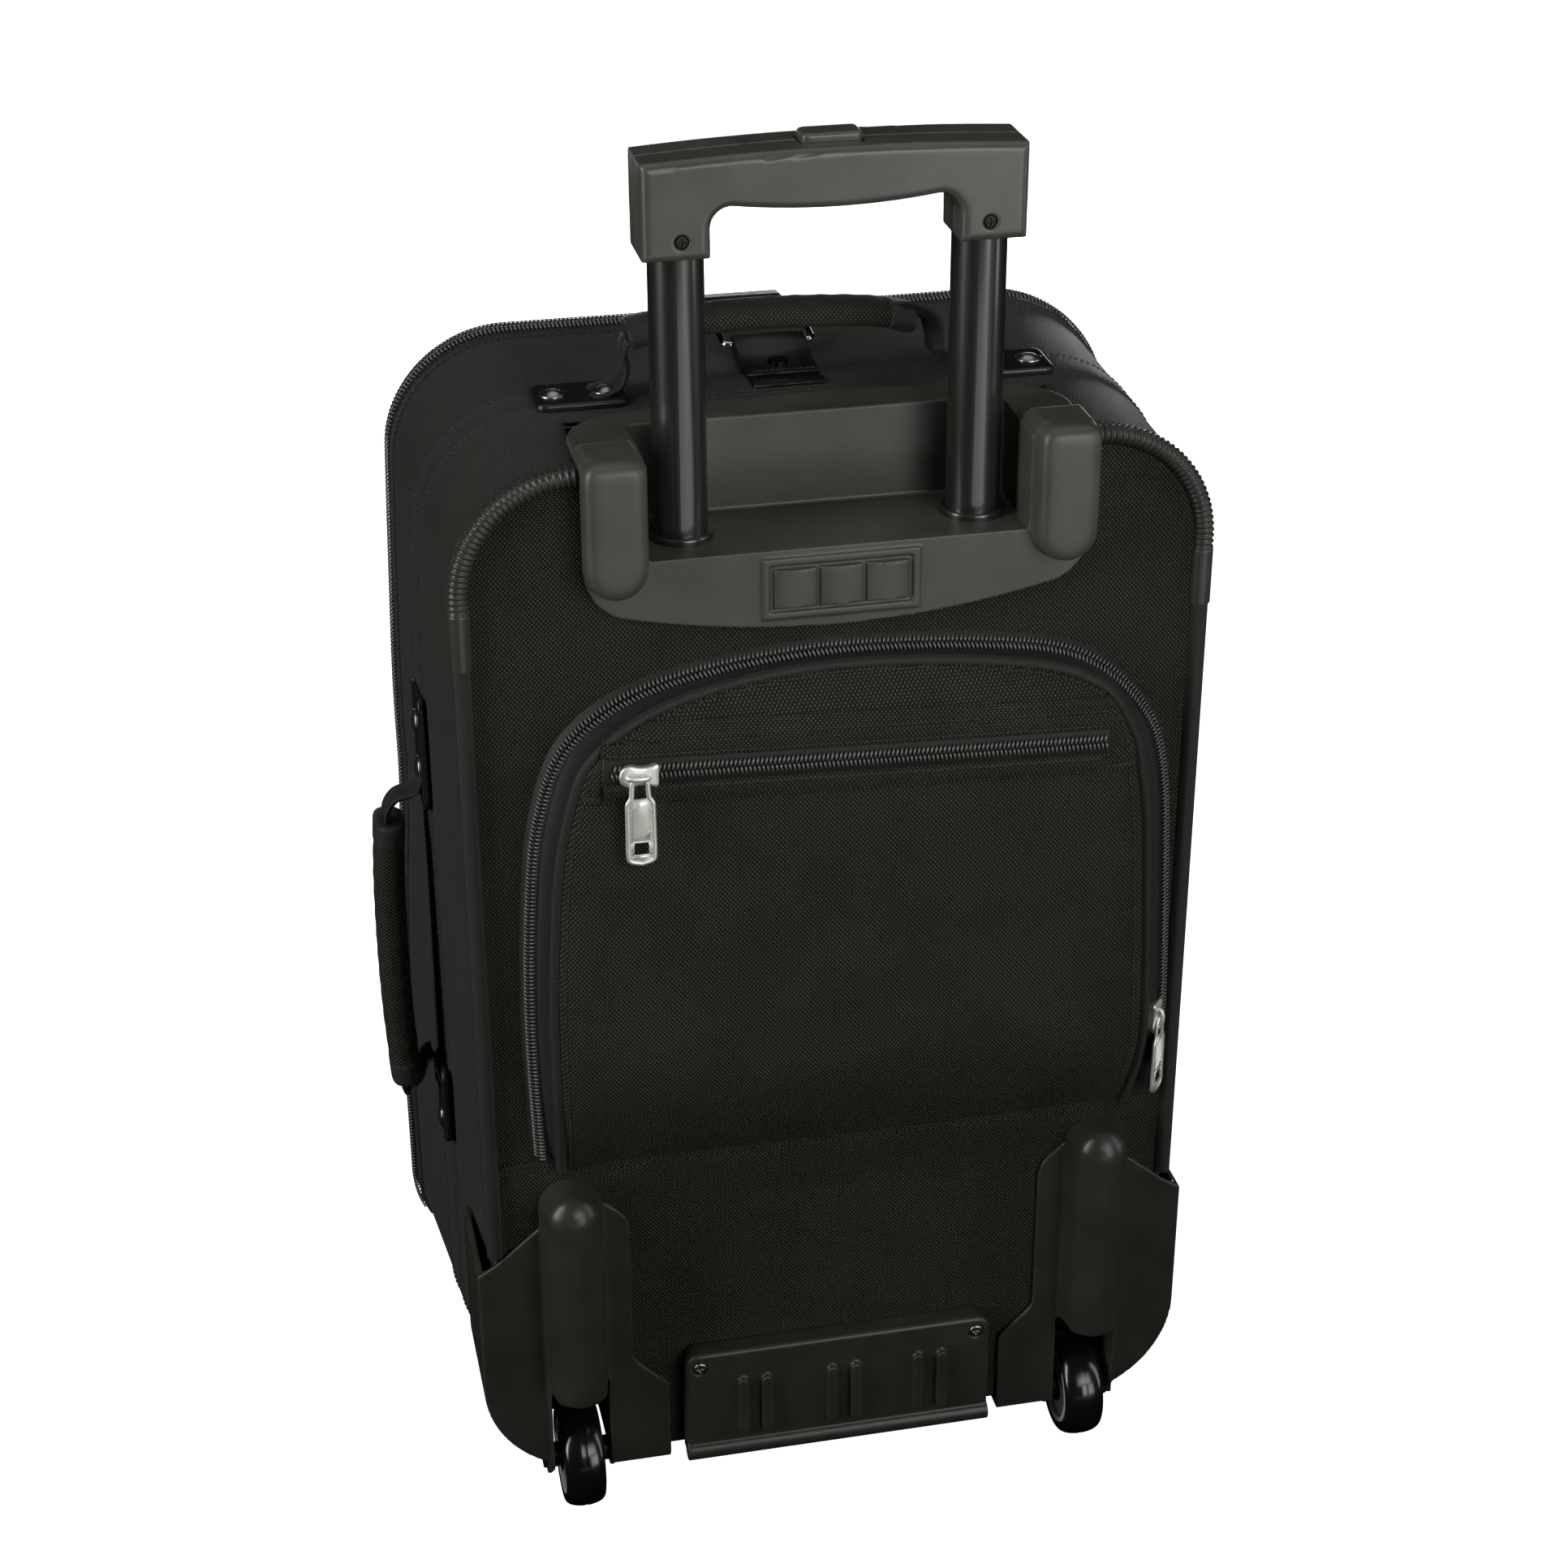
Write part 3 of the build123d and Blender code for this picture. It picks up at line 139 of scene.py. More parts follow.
class Path:
    """A line with its direction, an outward and a sideways axis at every point."""

    def __init__(self, points, outward):
        self.points = np.asarray(points, float)
        self.distance = travelled(np.linalg.norm(np.diff(self.points, axis=0), axis=1))
        self.along = unit(np.gradient(self.points, axis=0))
        outward = np.broadcast_to(np.asarray(outward, float), self.points.shape)
        self.out = unit(outward - np.sum(outward * self.along, 1, keepdims=True) * self.along)
        self.side = np.cross(self.along, self.out)

    def at(self, distance):
        """Places and their three axes at distances along the line."""
        axes = [unit(resampled(distance, self.distance, axis)) for axis in (self.along, self.out, self.side)]
        return resampled(distance, self.distance, self.points), *axes

    def shifted(self, out, side=0.0):
        """The same line moved outwards and sideways."""
        return Path(self.points + self.out * out + self.side * side, self.out)

    def part(self, start, end, step=2.0):
        """The stretch between two distances, resampled evenly."""
        places, _, out, _ = self.at(np.linspace(start, end, max(3, int(abs(end - start) / step) + 1)))
        return Path(places, out)


def curve(points, outward, step=1.5):
    """A smooth path through a few chosen points."""
    points = np.asarray(points, float)
    padded = np.vstack([2 * points[0] - points[1], points, 2 * points[-1] - points[-2]])
    t = np.linspace(0, 1, 24, endpoint=False)[:, None]
    rows = []
    for a, b, c, d in zip(padded, padded[1:], padded[2:], padded[3:]):
        bend, twist = 2 * a - 5 * b + 4 * c - d, 3 * b - a - 3 * c + d
        rows.append(0.5 * (2 * b + (c - a) * t + bend * t**2 + twist * t**3))
    dense = np.vstack([*rows, points[-1:]])
    known = travelled(np.linalg.norm(np.diff(dense, axis=0), axis=1))
    even = np.linspace(0, known[-1], int(known[-1] / step) + 2)
    return Path(resampled(even, known, dense), outward)


def oval(radius, sides=12, flat=1.0):
    """A round section as (outward, sideways) pairs; flat below one makes it lower than wide."""
    turn = np.linspace(0, 2 * np.pi, sides, endpoint=False) + np.pi
    return np.stack([radius * flat * np.cos(turn), radius * np.sin(turn)], 1)


def band(width, thickness, edge=0.45):
    """A flat strap's section with rounded edges, lying on its path."""
    half, round_in = width / 2, thickness * edge
    low = [(0, 0), (0, half - round_in), (thickness * 0.3, half), (thickness * 0.7, half)]
    high = [(thickness, half - round_in), (thickness, 0)]
    right = np.array(low + high)
    left = right[::-1][1:-1] * [1, -1]
    return np.vstack([right, left])


class Solid:
    """Vertices, faces and cloth coordinates gathered for one piece."""

    def __init__(self):
        self.places = []
        self.cloth = []
        self.faces = []
        self.count = 0

    def add(self, places, faces, cloth):
        """Adds vertices with the faces between them; cloth is (along, across, 0) in millimetres."""
        places = np.asarray(places, float).reshape(-1, 3)
        self.places.append(places)
        self.cloth.append(np.broadcast_to(np.asarray(cloth, float), (len(places), 3)))
        self.faces += [[index + self.count for index in face] for face in faces]
        self.count += len(places)

    def grid(self, places, cloth, closed_rows=False, closed_columns=False, keep=None):
        """A surface through rows of points; keep says which of its faces are made."""
        rows, columns = places.shape[:2]
        i, j = np.meshgrid(
            np.arange(rows if closed_rows else rows - 1),
            np.arange(columns if closed_columns else columns - 1),
            indexing="ij",
        )
        right, below = (j + 1) % columns, (i + 1) % rows
        corners = [(i, j), (i, right), (below, right), (below, j)]
        faces = np.stack([row * columns + column for row, column in corners], -1).reshape(-1, 4)
        if keep is not None:
            centres = places.reshape(-1, 3)[faces].mean(1)
            faces = faces[keep(centres)]
        self.add(places, faces.tolist(), cloth.reshape(-1, 3))

    def tube(self, rings, cloth, caps=True):
        """A surface through closed rings of points, with a face over each end."""
        first, count = self.count, rings.shape[1]
        self.grid(rings, cloth, closed_columns=True)
        if caps:
            last = self.count - count
            self.faces.append([first + k for k in range(count)])
            self.faces.append([last + k for k in reversed(range(count))])

    def sweep(self, path, section, caps=True):
        """A closed section carried along a path. The section may change from point to point."""
        section = np.asarray(section, float)
        if section.ndim == 2:
            section = np.repeat(section[None], len(path.points), 0)
        outwards, sideways = section[..., :1] * path.out[:, None], section[..., 1:] * path.side[:, None]
        across = travelled(np.linalg.norm(np.diff(section[len(section) // 2], axis=0), axis=1))
        cloth = xyz(path.distance[:, None], across, 0.0)
        self.tube(path.points[:, None] + outwards + sideways, cloth, caps)

    def scatter(self, shape, path, distances, out=0.0, side=0.0):
        """Copies of a small shape at distances along a path."""
        places, along, outward, sideways = path.at(np.asarray(distances, float))
        axes = np.stack([along, outward, sideways], 1)
        places = places + outward * out + sideways * side
        points = np.vstack(shape.places)
        placed = places[:, None] + np.einsum("vk,nkc->nvc", points, axes)
        cloth = xyz(np.broadcast_to(np.asarray(distances)[:, None], placed.shape[:2]), 0.0, 0.0)
        offsets = (np.arange(len(places)) * len(points))[:, None]
        by_length = {}
        for face in shape.faces:
            by_length.setdefault(len(face), []).append(face)
        faces = []
        for same in by_length.values():
            faces += (np.array(same)[None] + offsets[..., None]).reshape(-1, len(same[0])).tolist()
        self.add(placed, faces, cloth.reshape(-1, 3))


def wire(points, radius, sides=6):
    """A short wire with narrowed ends through points given as (along, outward, sideways)."""
    made = Solid()
    shrink = np.ones(len(points))
    shrink[[0, -1]] = 0.55
    made.sweep(Path(points, (0.013, 1.0, 0.007)), oval(radius, sides)[None] * shrink[:, None, None])
    return made


STITCH = wire([(-1.15, -0.25, 0), (-0.8, 0.12, 0), (0.8, 0.12, 0), (1.15, -0.25, 0)], 0.3, 5)


def tooth(side, width):
    """One turn of a zip's coil, from the middle of the zip to its edge."""
    reach = width / 2
    points = [(0.0, 0.8, 0.05), (0.12, 1.45, 0.22), (0.3, 1.6, 0.5), (0.62, 1.3, 0.82), (0.95, 0.1, 0.98)]
    return wire([(x, h, side * s * reach) for x, h, s in points], 0.56)


# ---------------------------------------------------------------- making pieces


def make_mesh(name, solid, weld=0.0):
    """A Blender mesh from gathered vertices and faces, with its cloth coordinates."""
    places = np.vstack(solid.places)
    mesh = bpy.data.meshes.new(name)
    mesh.from_pydata((places * MM).tolist(), [], solid.faces)
    cloth = mesh.attributes.new("cloth", "FLOAT_VECTOR", "POINT")
    cloth.data.foreach_set("vector", np.vstack(solid.cloth).astype(np.float32).ravel())
    work = bmesh.new()
    work.from_mesh(mesh)
    if weld:
        bmesh.ops.remove_doubles(work, verts=work.verts, dist=weld * MM)
        bmesh.ops.dissolve_degenerate(work, edges=work.edges, dist=0.01 * MM)
    bmesh.ops.recalc_face_normals(work, faces=work.faces)
    work.to_mesh(mesh)
    work.free()
    mesh.shade_smooth()
    return mesh


def vertices(made):
    """An object's vertices in millimetres."""
    return np.array([vertex.co for vertex in made.data.vertices]) / MM


def piece(name, solid, material, body, slot=None, replaces=(), weld=0.0, thick=0.0):
    """A named piece that rides on a body. A thickness, inwards, turns a single surface into a sheet."""
    mesh = solid if isinstance(solid, bpy.types.Mesh) else make_mesh(name, solid, weld)
    made = bpy.data.objects.new(name, mesh)
    bpy.context.scene.collection.objects.link(made)
    mesh.materials.clear()
    mesh.materials.append(material)
    if thick:
        sheet = made.modifiers.new("thickness", "SOLIDIFY")
        sheet.thickness = thick * MM
        sheet.offset = -1.0
    if body:
        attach(made, body)
    if replaces:
        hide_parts(*replaces)
    return made


AXES = ("use_axis_x", "use_axis_y", "use_axis_z")


def smoothed(mesh, rounds, inside):
    """Smooths a mesh a number of rounds, only where inside says so."""
    work = bmesh.new()
    work.from_mesh(mesh)
    work.verts.ensure_lookup_table()
    places = np.array([vertex.co for vertex in work.verts]) / MM
    chosen = [work.verts[index] for index in np.nonzero(inside(places))[0]]
    for _ in range(rounds):
        bmesh.ops.smooth_vert(work, verts=chosen, factor=0.5, **dict.fromkeys(AXES, True))
    work.to_mesh(mesh)
    work.free()


def soften(node, body, material, slot, voxel, rounds, rounder=None, shape=None):
    """A moulded CAD part with its edges rounded: remeshed finely, then smoothed.

    The shape moves each vertex to a new place, and the rounder smooths a chosen part further.
    """
    copy = bpy.data.objects.new("work", frame["nodes"][node].data.copy())
    bpy.context.scene.collection.objects.link(copy)
    remesh = copy.modifiers.new("remesh", "REMESH")
    remesh.mode = "VOXEL"
    remesh.voxel_size = voxel * MM
    remesh.use_smooth_shade = True
    relax = copy.modifiers.new("relax", "SMOOTH")
    relax.factor = 0.5
    relax.iterations = rounds
    bpy.context.view_layer.update()
    mesh = bpy.data.meshes.new_from_object(copy.evaluated_get(bpy.context.evaluated_depsgraph_get()))
    bpy.data.objects.remove(copy)
    if shape:
        for vertex in mesh.vertices:
            vertex.co = shape(vertex.co / MM) * MM
    if rounder:
        smoothed(mesh, *rounder)
    mesh.shade_smooth()
    return piece(f"{node}_moulding", mesh, material, body, slot, (node,))


PUFF_FRAMES = 20


def puff(made, pressure, cap, pinned):
    """Fills a piece by cloth simulation, holding its pinned points, and keeps each point within the cap."""
    start = np.array([vertex.co for vertex in made.data.vertices])
    group = made.vertex_groups.new(name="held")
    group.add([int(index) for index in np.nonzero(pinned)[0]], 1.0, "REPLACE")
    cloth = made.modifiers.new("cloth", "CLOTH")
    settings = cloth.settings
    settings.quality = 6
    settings.mass = 0.25
    settings.tension_stiffness = 20
    settings.compression_stiffness = 20
    settings.shear_stiffness = 8
    settings.bending_stiffness = 0.4
    settings.use_pressure = True
    settings.uniform_pressure_force = pressure
    settings.effector_weights.gravity = 0
    settings.vertex_group_mass = "held"
    cloth.collision_settings.use_collision = False
    scene = bpy.context.scene
    for step in range(1, PUFF_FRAMES + 1):
        scene.frame_set(step)
    filled = bpy.data.meshes.new_from_object(made.evaluated_get(bpy.context.evaluated_depsgraph_get()))
    moved = np.array([vertex.co for vertex in filled.vertices]) - start
    length = np.linalg.norm(moved, axis=1, keepdims=True)
    limit = cap * MM
    moved *= limit * np.tanh(length / limit) / np.maximum(length, 1e-9)
    made.modifiers.remove(cloth)
    made.vertex_groups.clear()
    made.data.vertices.foreach_set("co", (start + moved).astype(np.float32).ravel())
    made.data.update()
    bpy.data.meshes.remove(filled)
    scene.frame_set(1)


class Surface:
    """A piece's surface, to lay other things on."""

    def __init__(self, made):
        points = [vertex.co / MM for vertex in made.data.vertices]
        self.tree = BVHTree.FromPolygons(points, [tuple(face.vertices) for face in made.data.polygons])

    def lay(self, points, towards, back):
        """A path on the surface, seen along a direction from a way back behind points."""
        towards = Vector(towards)
        hits, normals = [], []
        for point in points:
            place, normal, _, _ = self.tree.ray_cast(Vector(point) - towards * back, towards)
            if place is None:
                continue
            hits.append(place)
            normals.append(-normal if normal.dot(towards) > 0 else normal)
        return Path(np.array(hits), np.array(normals))


# ---------------------------------------------------------------- materials


class Number:
    """A shader node's output that takes sums like a number."""

    def __init__(self, shader, socket):
        self.shader = shader
        self.socket = socket

    def __add__(self, other):
        return self.shader.math("ADD", self, other)

    def __sub__(self, other):
        return self.shader.math("SUBTRACT", self, other)

    def __rsub__(self, other):
        return self.shader.math("SUBTRACT", other, self)

    def __mul__(self, other):
        return self.shader.math("MULTIPLY", self, other)


class Shader:
    """A material and a short way to add and link its nodes."""

    def __init__(self, name, colour, roughness, **sockets):
        self.material = bpy.data.materials.new(name)
        self.material.use_nodes = True
        self.tree = self.material.node_tree
        self.surface = self.tree.nodes["Principled BSDF"]
        self.colour = (*colour, 1.0)
        self.surface.inputs["Base Color"].default_value = self.colour
        self.surface.inputs["Roughness"].default_value = roughness
        for socket, value in sockets.items():
            self.surface.inputs[socket.replace("_", " ")].default_value = value

    def put(self, socket, value):
        """Sets a socket to a value or links it to another."""
        if isinstance(value, Number):
            value = value.socket
        if isinstance(value, bpy.types.NodeSocket):
            self.tree.links.new(value, socket)
        else:
            socket.default_value = value

    def node(self, kind, inputs, **settings):
        """A node with its settings and inputs given."""
        made = self.tree.nodes.new(kind)
        for key, value in settings.items():
            setattr(made, key, value)
        for key, value in inputs.items():
            self.put(made.inputs[key], value)
        return made

    def math(self, operation, *values):
        """The result of one sum on numbers."""
        made = self.node("ShaderNodeMath", dict(enumerate(values)), operation=operation)
        return Number(self, made.outputs[0])

    def vector(self, operation, *values):
        """The result of one sum on vectors."""
        return self.node("ShaderNodeVectorMath", dict(enumerate(values)), operation=operation).outputs[0]

    def blend(self, first, second, share=0.5):
        """A weighted sum of two numbers, where the share is the first one's."""
        return first * share + second * (1 - share)

    def place(self):
        """Object coordinates in millimetres."""
        source = self.node("ShaderNodeTexCoord", {}).outputs["Object"]
        return self.vector("MULTIPLY", source, (1 / MM, 1 / MM, 1 / MM))

    def cloth(self, scale):
        """Coordinates along and across the cloth, divided by a scale, as three numbers."""
        source = self.node("ShaderNodeAttribute", {}, attribute_name="cloth").outputs["Vector"]
        scaled = self.vector("MULTIPLY", source, (1 / scale[0], 1 / scale[1], 1.0))
        return self.split(scaled)

    def split(self, vector):
        """The three numbers of a vector."""
        return [Number(self, socket) for socket in self.node("ShaderNodeSeparateXYZ", {0: vector}).outputs]

    def noise(self, scale, detail=3.0, vector=None):
        """Noise with features about the given millimetres across."""
        inputs = {"Vector": vector or self.place(), "Scale": 1 / scale, "Detail": detail}
        return Number(self, self.node("ShaderNodeTexNoise", inputs).outputs["Fac"])

    def between(self, value, low, high, to_low=0.0, to_high=1.0):
        """A number mapped from one range to another, and clamped."""
        inputs = {0: value, 1: low, 2: high, 3: to_low, 4: to_high}
        return Number(self, self.node("ShaderNodeMapRange", inputs).outputs[0])

    def mix(self, factor, first, second):
        """A colour between two colours."""
        made = self.node("ShaderNodeMix", {0: factor}, data_type="RGBA")
        self.put(made.inputs[6], first)
        self.put(made.inputs[7], second)
        return made.outputs[2]

    def tint(self, factor, low, high):
        """Links the base colour, from low to high times its own value."""
        dark = tuple(channel * low for channel in self.colour[:3]) + (1.0,)
        light = tuple(channel * high for channel in self.colour[:3]) + (1.0,)
        mixed = self.mix(factor, dark, light)
        self.put(self.surface.inputs["Base Color"], mixed)
        return mixed

    def polish(self, factor, low, high):
        """Links the roughness to a number."""
        self.put(self.surface.inputs["Roughness"], self.between(factor, 0.0, 1.0, low, high))

    def bump(self, height, depth, strength=1.0):
        """Raises the surface by a height map of the given depth in millimetres."""
        chained = {"Height": height, "Distance": depth * MM, "Strength": strength}
        before = self.surface.inputs["Normal"]
        if before.is_linked:
            chained["Normal"] = before.links[0].from_socket
        made = self.node("ShaderNodeBump", chained)
        self.put(before, made.outputs["Normal"])

    def fraction_dome(self, value, power):
        """A dome over each whole step of a number: 0 at the ends and 1 in the middle."""
        inside = self.math("FRACT", value) - 0.5
        return 1.0 - self.math("POWER", self.math("ABSOLUTE", inside * 2.0), power)


def ballistic_weave(name, colour, cell):
    """Basket weave: fat threads pass over each other in turn. Their base colour is painted black in the gaps
    between threads (painted shade) and bright on the thread tops in rows of dots (painted highlight).
    """
    shader = Shader(name, colour, 0.55, Sheen_Weight=0.01, Sheen_Roughness=0.5, Specular_IOR_Level=0.12)
    u, v, _ = shader.cloth(cell)
    over = shader.fraction_dome(u, 2.0) * shader.fraction_dome(v, 4.0)
    under = shader.fraction_dome(u, 4.0) * shader.fraction_dome(v, 2.0)
    steps = shader.math("FLOOR", u) + shader.math("FLOOR", v)
    odd = shader.math("ABSOLUTE", shader.math("MODULO", steps, 2.0))
    height = over * (1.0 - odd) + under * 0.2 * odd
    patches = shader.between(shader.noise(35.0, 4.0), 0.3, 0.7, 0.82, 1.1)
    fibres = shader.between(shader.noise(0.35, 2.0), 0.3, 0.7, 0.8, 1.15)
    # Painted shade and highlight: the base colour runs from black in the gaps between threads to 4.2 times its
    # value on the thread tops.
    shader.tint(height * (patches * fibres), 0.0, 4.2)
    shader.polish(height, 0.8, 0.42)
    shader.bump(height, 0.6, 1.1)
    return shader.material


def satin_weave(name, colour, rib):
    """Finer, tighter cloth with ribs across it, its base colour painted darker in the grooves between ribs
    (painted shade) and lighter on their tops (painted highlight).
    """
    shader = Shader(name, colour, 0.5, Sheen_Weight=0.08, Sheen_Roughness=0.5, Specular_IOR_Level=0.35)
    u, v, _ = shader.cloth((rib, rib * 1.9))
    ribs = shader.fraction_dome(u + shader.math("FLOOR", v) * 0.5, 2.0)
    threads = ribs * shader.fraction_dome(v, 4.0)
    patches = shader.between(shader.noise(45.0, 4.0), 0.3, 0.7, 0.8, 1.15)
    # Painted shade and highlight: the base colour is darker in the grooves between ribs and threads and
    # lighter on their tops.
    shader.tint(threads * patches, 0.2, 1.4)
    shader.polish(threads, 0.66, 0.38)
    shader.bump(threads, 0.3, 0.9)
    return shader.material


def woven_tape(name, colour, rib, width, depth=0.2):
    """Herringbone tape: slanted ribs that turn back at the middle of each row, with painted shade in the
    grooves between them and painted highlight on their crests.
    """
    shader = Shader(name, colour, 0.55, Sheen_Weight=0.05, Sheen_Roughness=0.5, Specular_IOR_Level=0.3)
    u, v, _ = shader.cloth((rib, width))
    zigzag = shader.math("PINGPONG", v * 2.0, 1.0)
    ribs = shader.fraction_dome(u + zigzag * 1.6, 2.0)
    fibres = shader.between(shader.noise(0.3, 2.0), 0.3, 0.7, 0.75, 1.2)
    # Painted shade and highlight: the base colour is darker in the grooves between the ribs and lighter on
    # their crests.
    shader.tint(ribs * fibres, 0.3, 1.3)
    shader.polish(ribs, 0.7, 0.45)
    shader.bump(ribs, depth, 0.9)
    return shader.material


def moulded(name, colour, roughness, grain=0.05, coat=0.0, level=0.45):
    """Moulded plastic: fine spark texture, faint flow marks, convex edges lighter."""
    shader = Shader(name, colour, roughness, Specular_IOR_Level=level, Coat_Weight=coat, Coat_Roughness=0.2)
    sparks = shader.noise(0.45, 2.0)
    marks = shader.noise(22.0, 5.0)
    edges = shader.node("ShaderNodeNewGeometry", {}).outputs["Pointiness"]
    # Convex edges, found by pointiness, are made lighter.
    lighter_edges = shader.between(edges, 0.51, 0.56)
    shader.tint(shader.between(marks, 0.3, 0.7, 0.0, 0.5) + lighter_edges * 0.5, 0.88, 1.5)
    shader.polish(shader.blend(marks, sparks, 0.6), roughness - 0.09, roughness + 0.09)
    shader.bump(sparks, grain, 0.6)
    return shader.material


def metal(name, colour, roughness):
    """Plated or anodised metal with fine scratches."""
    shader = Shader(name, colour, roughness, Metallic=1.0)
    stretched = shader.vector("MULTIPLY", shader.place(), (4.0, 4.0, 0.25))
    scratches = shader.noise(1.2, 4.0, stretched)
    smudges = shader.noise(9.0, 3.0)
    shader.tint(smudges, 0.85, 1.12)
    shader.polish(shader.blend(scratches, smudges, 0.4), max(0.03, roughness - 0.1), roughness + 0.12)
    shader.bump(scratches, 0.02, 0.35)
    return shader.material


def anodised(name, colour, roughness):
    """Dark lacquered tube: black film over metal, drawn lengthwise."""
    shader = Shader(name, colour, roughness, Specular_IOR_Level=0.6, Coat_Weight=0.7, Coat_Roughness=0.1)
    stretched = shader.vector("MULTIPLY", shader.place(), (5.0, 5.0, 0.12))
    drawn = shader.noise(1.6, 3.0, stretched)
    shader.tint(drawn, 0.7, 1.3)
    shader.polish(drawn, roughness - 0.06, roughness + 0.1)
    shader.bump(drawn, 0.015, 0.3)
    return shader.material


def leather(name, colour):
    """Glossy grained leather."""
    shader = Shader(name, colour, 0.36, Specular_IOR_Level=0.35)
    grain = shader.node("ShaderNodeTexVoronoi", {"Vector": shader.place(), "Scale": 0.9})
    cells = Number(shader, grain.outputs["Distance"])
    creases = shader.noise(3.5, 5.0)
    shader.tint(shader.blend(cells, creases), 0.6, 1.5)
    shader.polish(creases, 0.28, 0.52)
    shader.bump(cells, 0.12, 0.5)
    shader.bump(creases, 0.25, 0.4)
    return shader.material


def lining_cloth(name, colour):
    """Light dress lining with a fine diagonal, painted darker in the grooves between its ribs (painted shade).
    """
    shader = Shader(name, colour, 0.6, Sheen_Weight=0.35, Sheen_Roughness=0.3)
    x, y, z = shader.split(shader.place())
    ribs = shader.fraction_dome((x + y + z) * 0.9, 2.0)
    folds = shader.noise(30.0, 4.0)
    # Painted shade: the base colour is darker in the grooves between the diagonal ribs.
    shader.tint(ribs * shader.between(folds, 0.3, 0.7, 0.8, 1.1), 0.6, 1.15)
    shader.polish(folds, 0.5, 0.75)
    shader.bump(ribs, 0.1, 0.6)
    shader.bump(folds, 1.2, 0.35)
    return shader.material


WEAVE = ballistic_weave("ballistic_nylon_cloth", (0.0225, 0.0228, 0.0172), (0.98, 1.2))
WEAVE_LID = ballistic_weave("ballistic_nylon_front", (0.024, 0.0243, 0.0185), (0.98, 1.2))
SATIN = satin_weave("gusset_cloth", (0.0185, 0.0189, 0.0140), 0.95)
TAPE = woven_tape("zip_tape_twill", (0.0105, 0.0107, 0.0084), 0.55, 14.0, depth=0.07)
PIPING = woven_tape("piping_herringbone", (0.0165, 0.0168, 0.0132), 1.25, 4.6)
WEBBING = woven_tape("handle_webbing", (0.018, 0.0182, 0.0155), 1.5, 5.2)
THREAD = moulded("black_thread", (0.02, 0.02, 0.018), 0.45, grain=0.03)
COIL = moulded("zip_coil_nylon", (0.066, 0.066, 0.061), 0.24, grain=0.01, level=0.8)
CUP = moulded("cup_plastic_matt", (0.052, 0.053, 0.0440), 0.4)
HOUSING = moulded("housing_plastic_matt", (0.027, 0.0276, 0.0225), 0.33)
GRIP = moulded("grip_plastic_satin", (0.064, 0.065, 0.0545), 0.3)
PROTECTOR = moulded("protector_rubber_matt", (0.03, 0.0305, 0.026), 0.34)
BUCKLE = moulded("buckle_plastic_satin", (0.02, 0.0202, 0.018), 0.42)
PLATE = moulded("plate_plastic_gloss", (0.011, 0.0111, 0.0098), 0.3)
TYRE = moulded("tyre_gloss", (0.006, 0.006, 0.0058), 0.17, grain=0.01, coat=0.5)
# Painted reflection: the hubs are pale grey to stand in for the white floor reflected in their sides.
HUB_PAINTED_REFLECTION = moulded("hub_plastic_painted_floor_reflection", (0.32, 0.32, 0.31), 0.3, grain=0.02)
TUBE = anodised("tube_black_gloss", (0.012, 0.0124, 0.010), 0.31)
NICKEL = metal("satin_nickel", (0.9, 0.89, 0.84), 0.5)
RIVET = metal("black_rivet", (0.05, 0.05, 0.048), 0.3)
# Painted shade: the grip's screws are made near black to stand for the shade down their holes.
SCREW_HOLE_SHADE = moulded("screw_hole_painted_shade", (0.006, 0.006, 0.005), 0.6)
CHROME = metal("ring_chrome", (0.62, 0.62, 0.6), 0.12)
STEEL = metal("screw_steel_bright", (0.33, 0.33, 0.315), 0.28)
DARK_STEEL = metal("dark_steel", (0.12, 0.12, 0.115), 0.35)
LEATHER = leather("tab_leather", (0.0085, 0.0082, 0.0075))
LINING = lining_cloth("grey_lining", (0.16, 0.16, 0.155))

FINISHES = {
    "ballistic_nylon": WEAVE,
    "piping_fabric": PIPING,
    "webbing": WEBBING,
    "handle_fabric": WEAVE,
    "lining": LINING,
    "zip_tape": TAPE,
    "housing_plastic": HOUSING,
    "cup_plastic": CUP,
    "grip_plastic": GRIP,
    "button_plastic": GRIP,
    "protector_rubber": PROTECTOR,
    "buckle_plastic": BUCKLE,
    "handle_metal": TUBE,
    "guide_metal": DARK_STEEL,
    "spring_steel": STEEL,
    "screw_steel": STEEL,
    "plate_plastic": PLATE,
    "axle_steel": STEEL,
    "tyre": TYRE,
    "hub_plastic": HUB_PAINTED_REFLECTION,
    "zip_metal": NICKEL,
    "ring_metal": CHROME,
    "leather": LEATHER,
}
NODE_FINISHES = {"tab_rivet": RIVET, "grip_screws": SCREW_HOLE_SHADE, "tie_straps": WEBBING, "stiffener_boards": LINING}


def finish_cad_nodes():
    """Every CAD node takes the procedural finish of its material slot, or its own."""
    for name, node in frame["nodes"].items():
        for index, old in enumerate(node.data.materials):
            node.data.materials[index] = NODE_FINISHES.get(name, FINISHES[old.name])


# ---------------------------------------------------------------- the case's surface


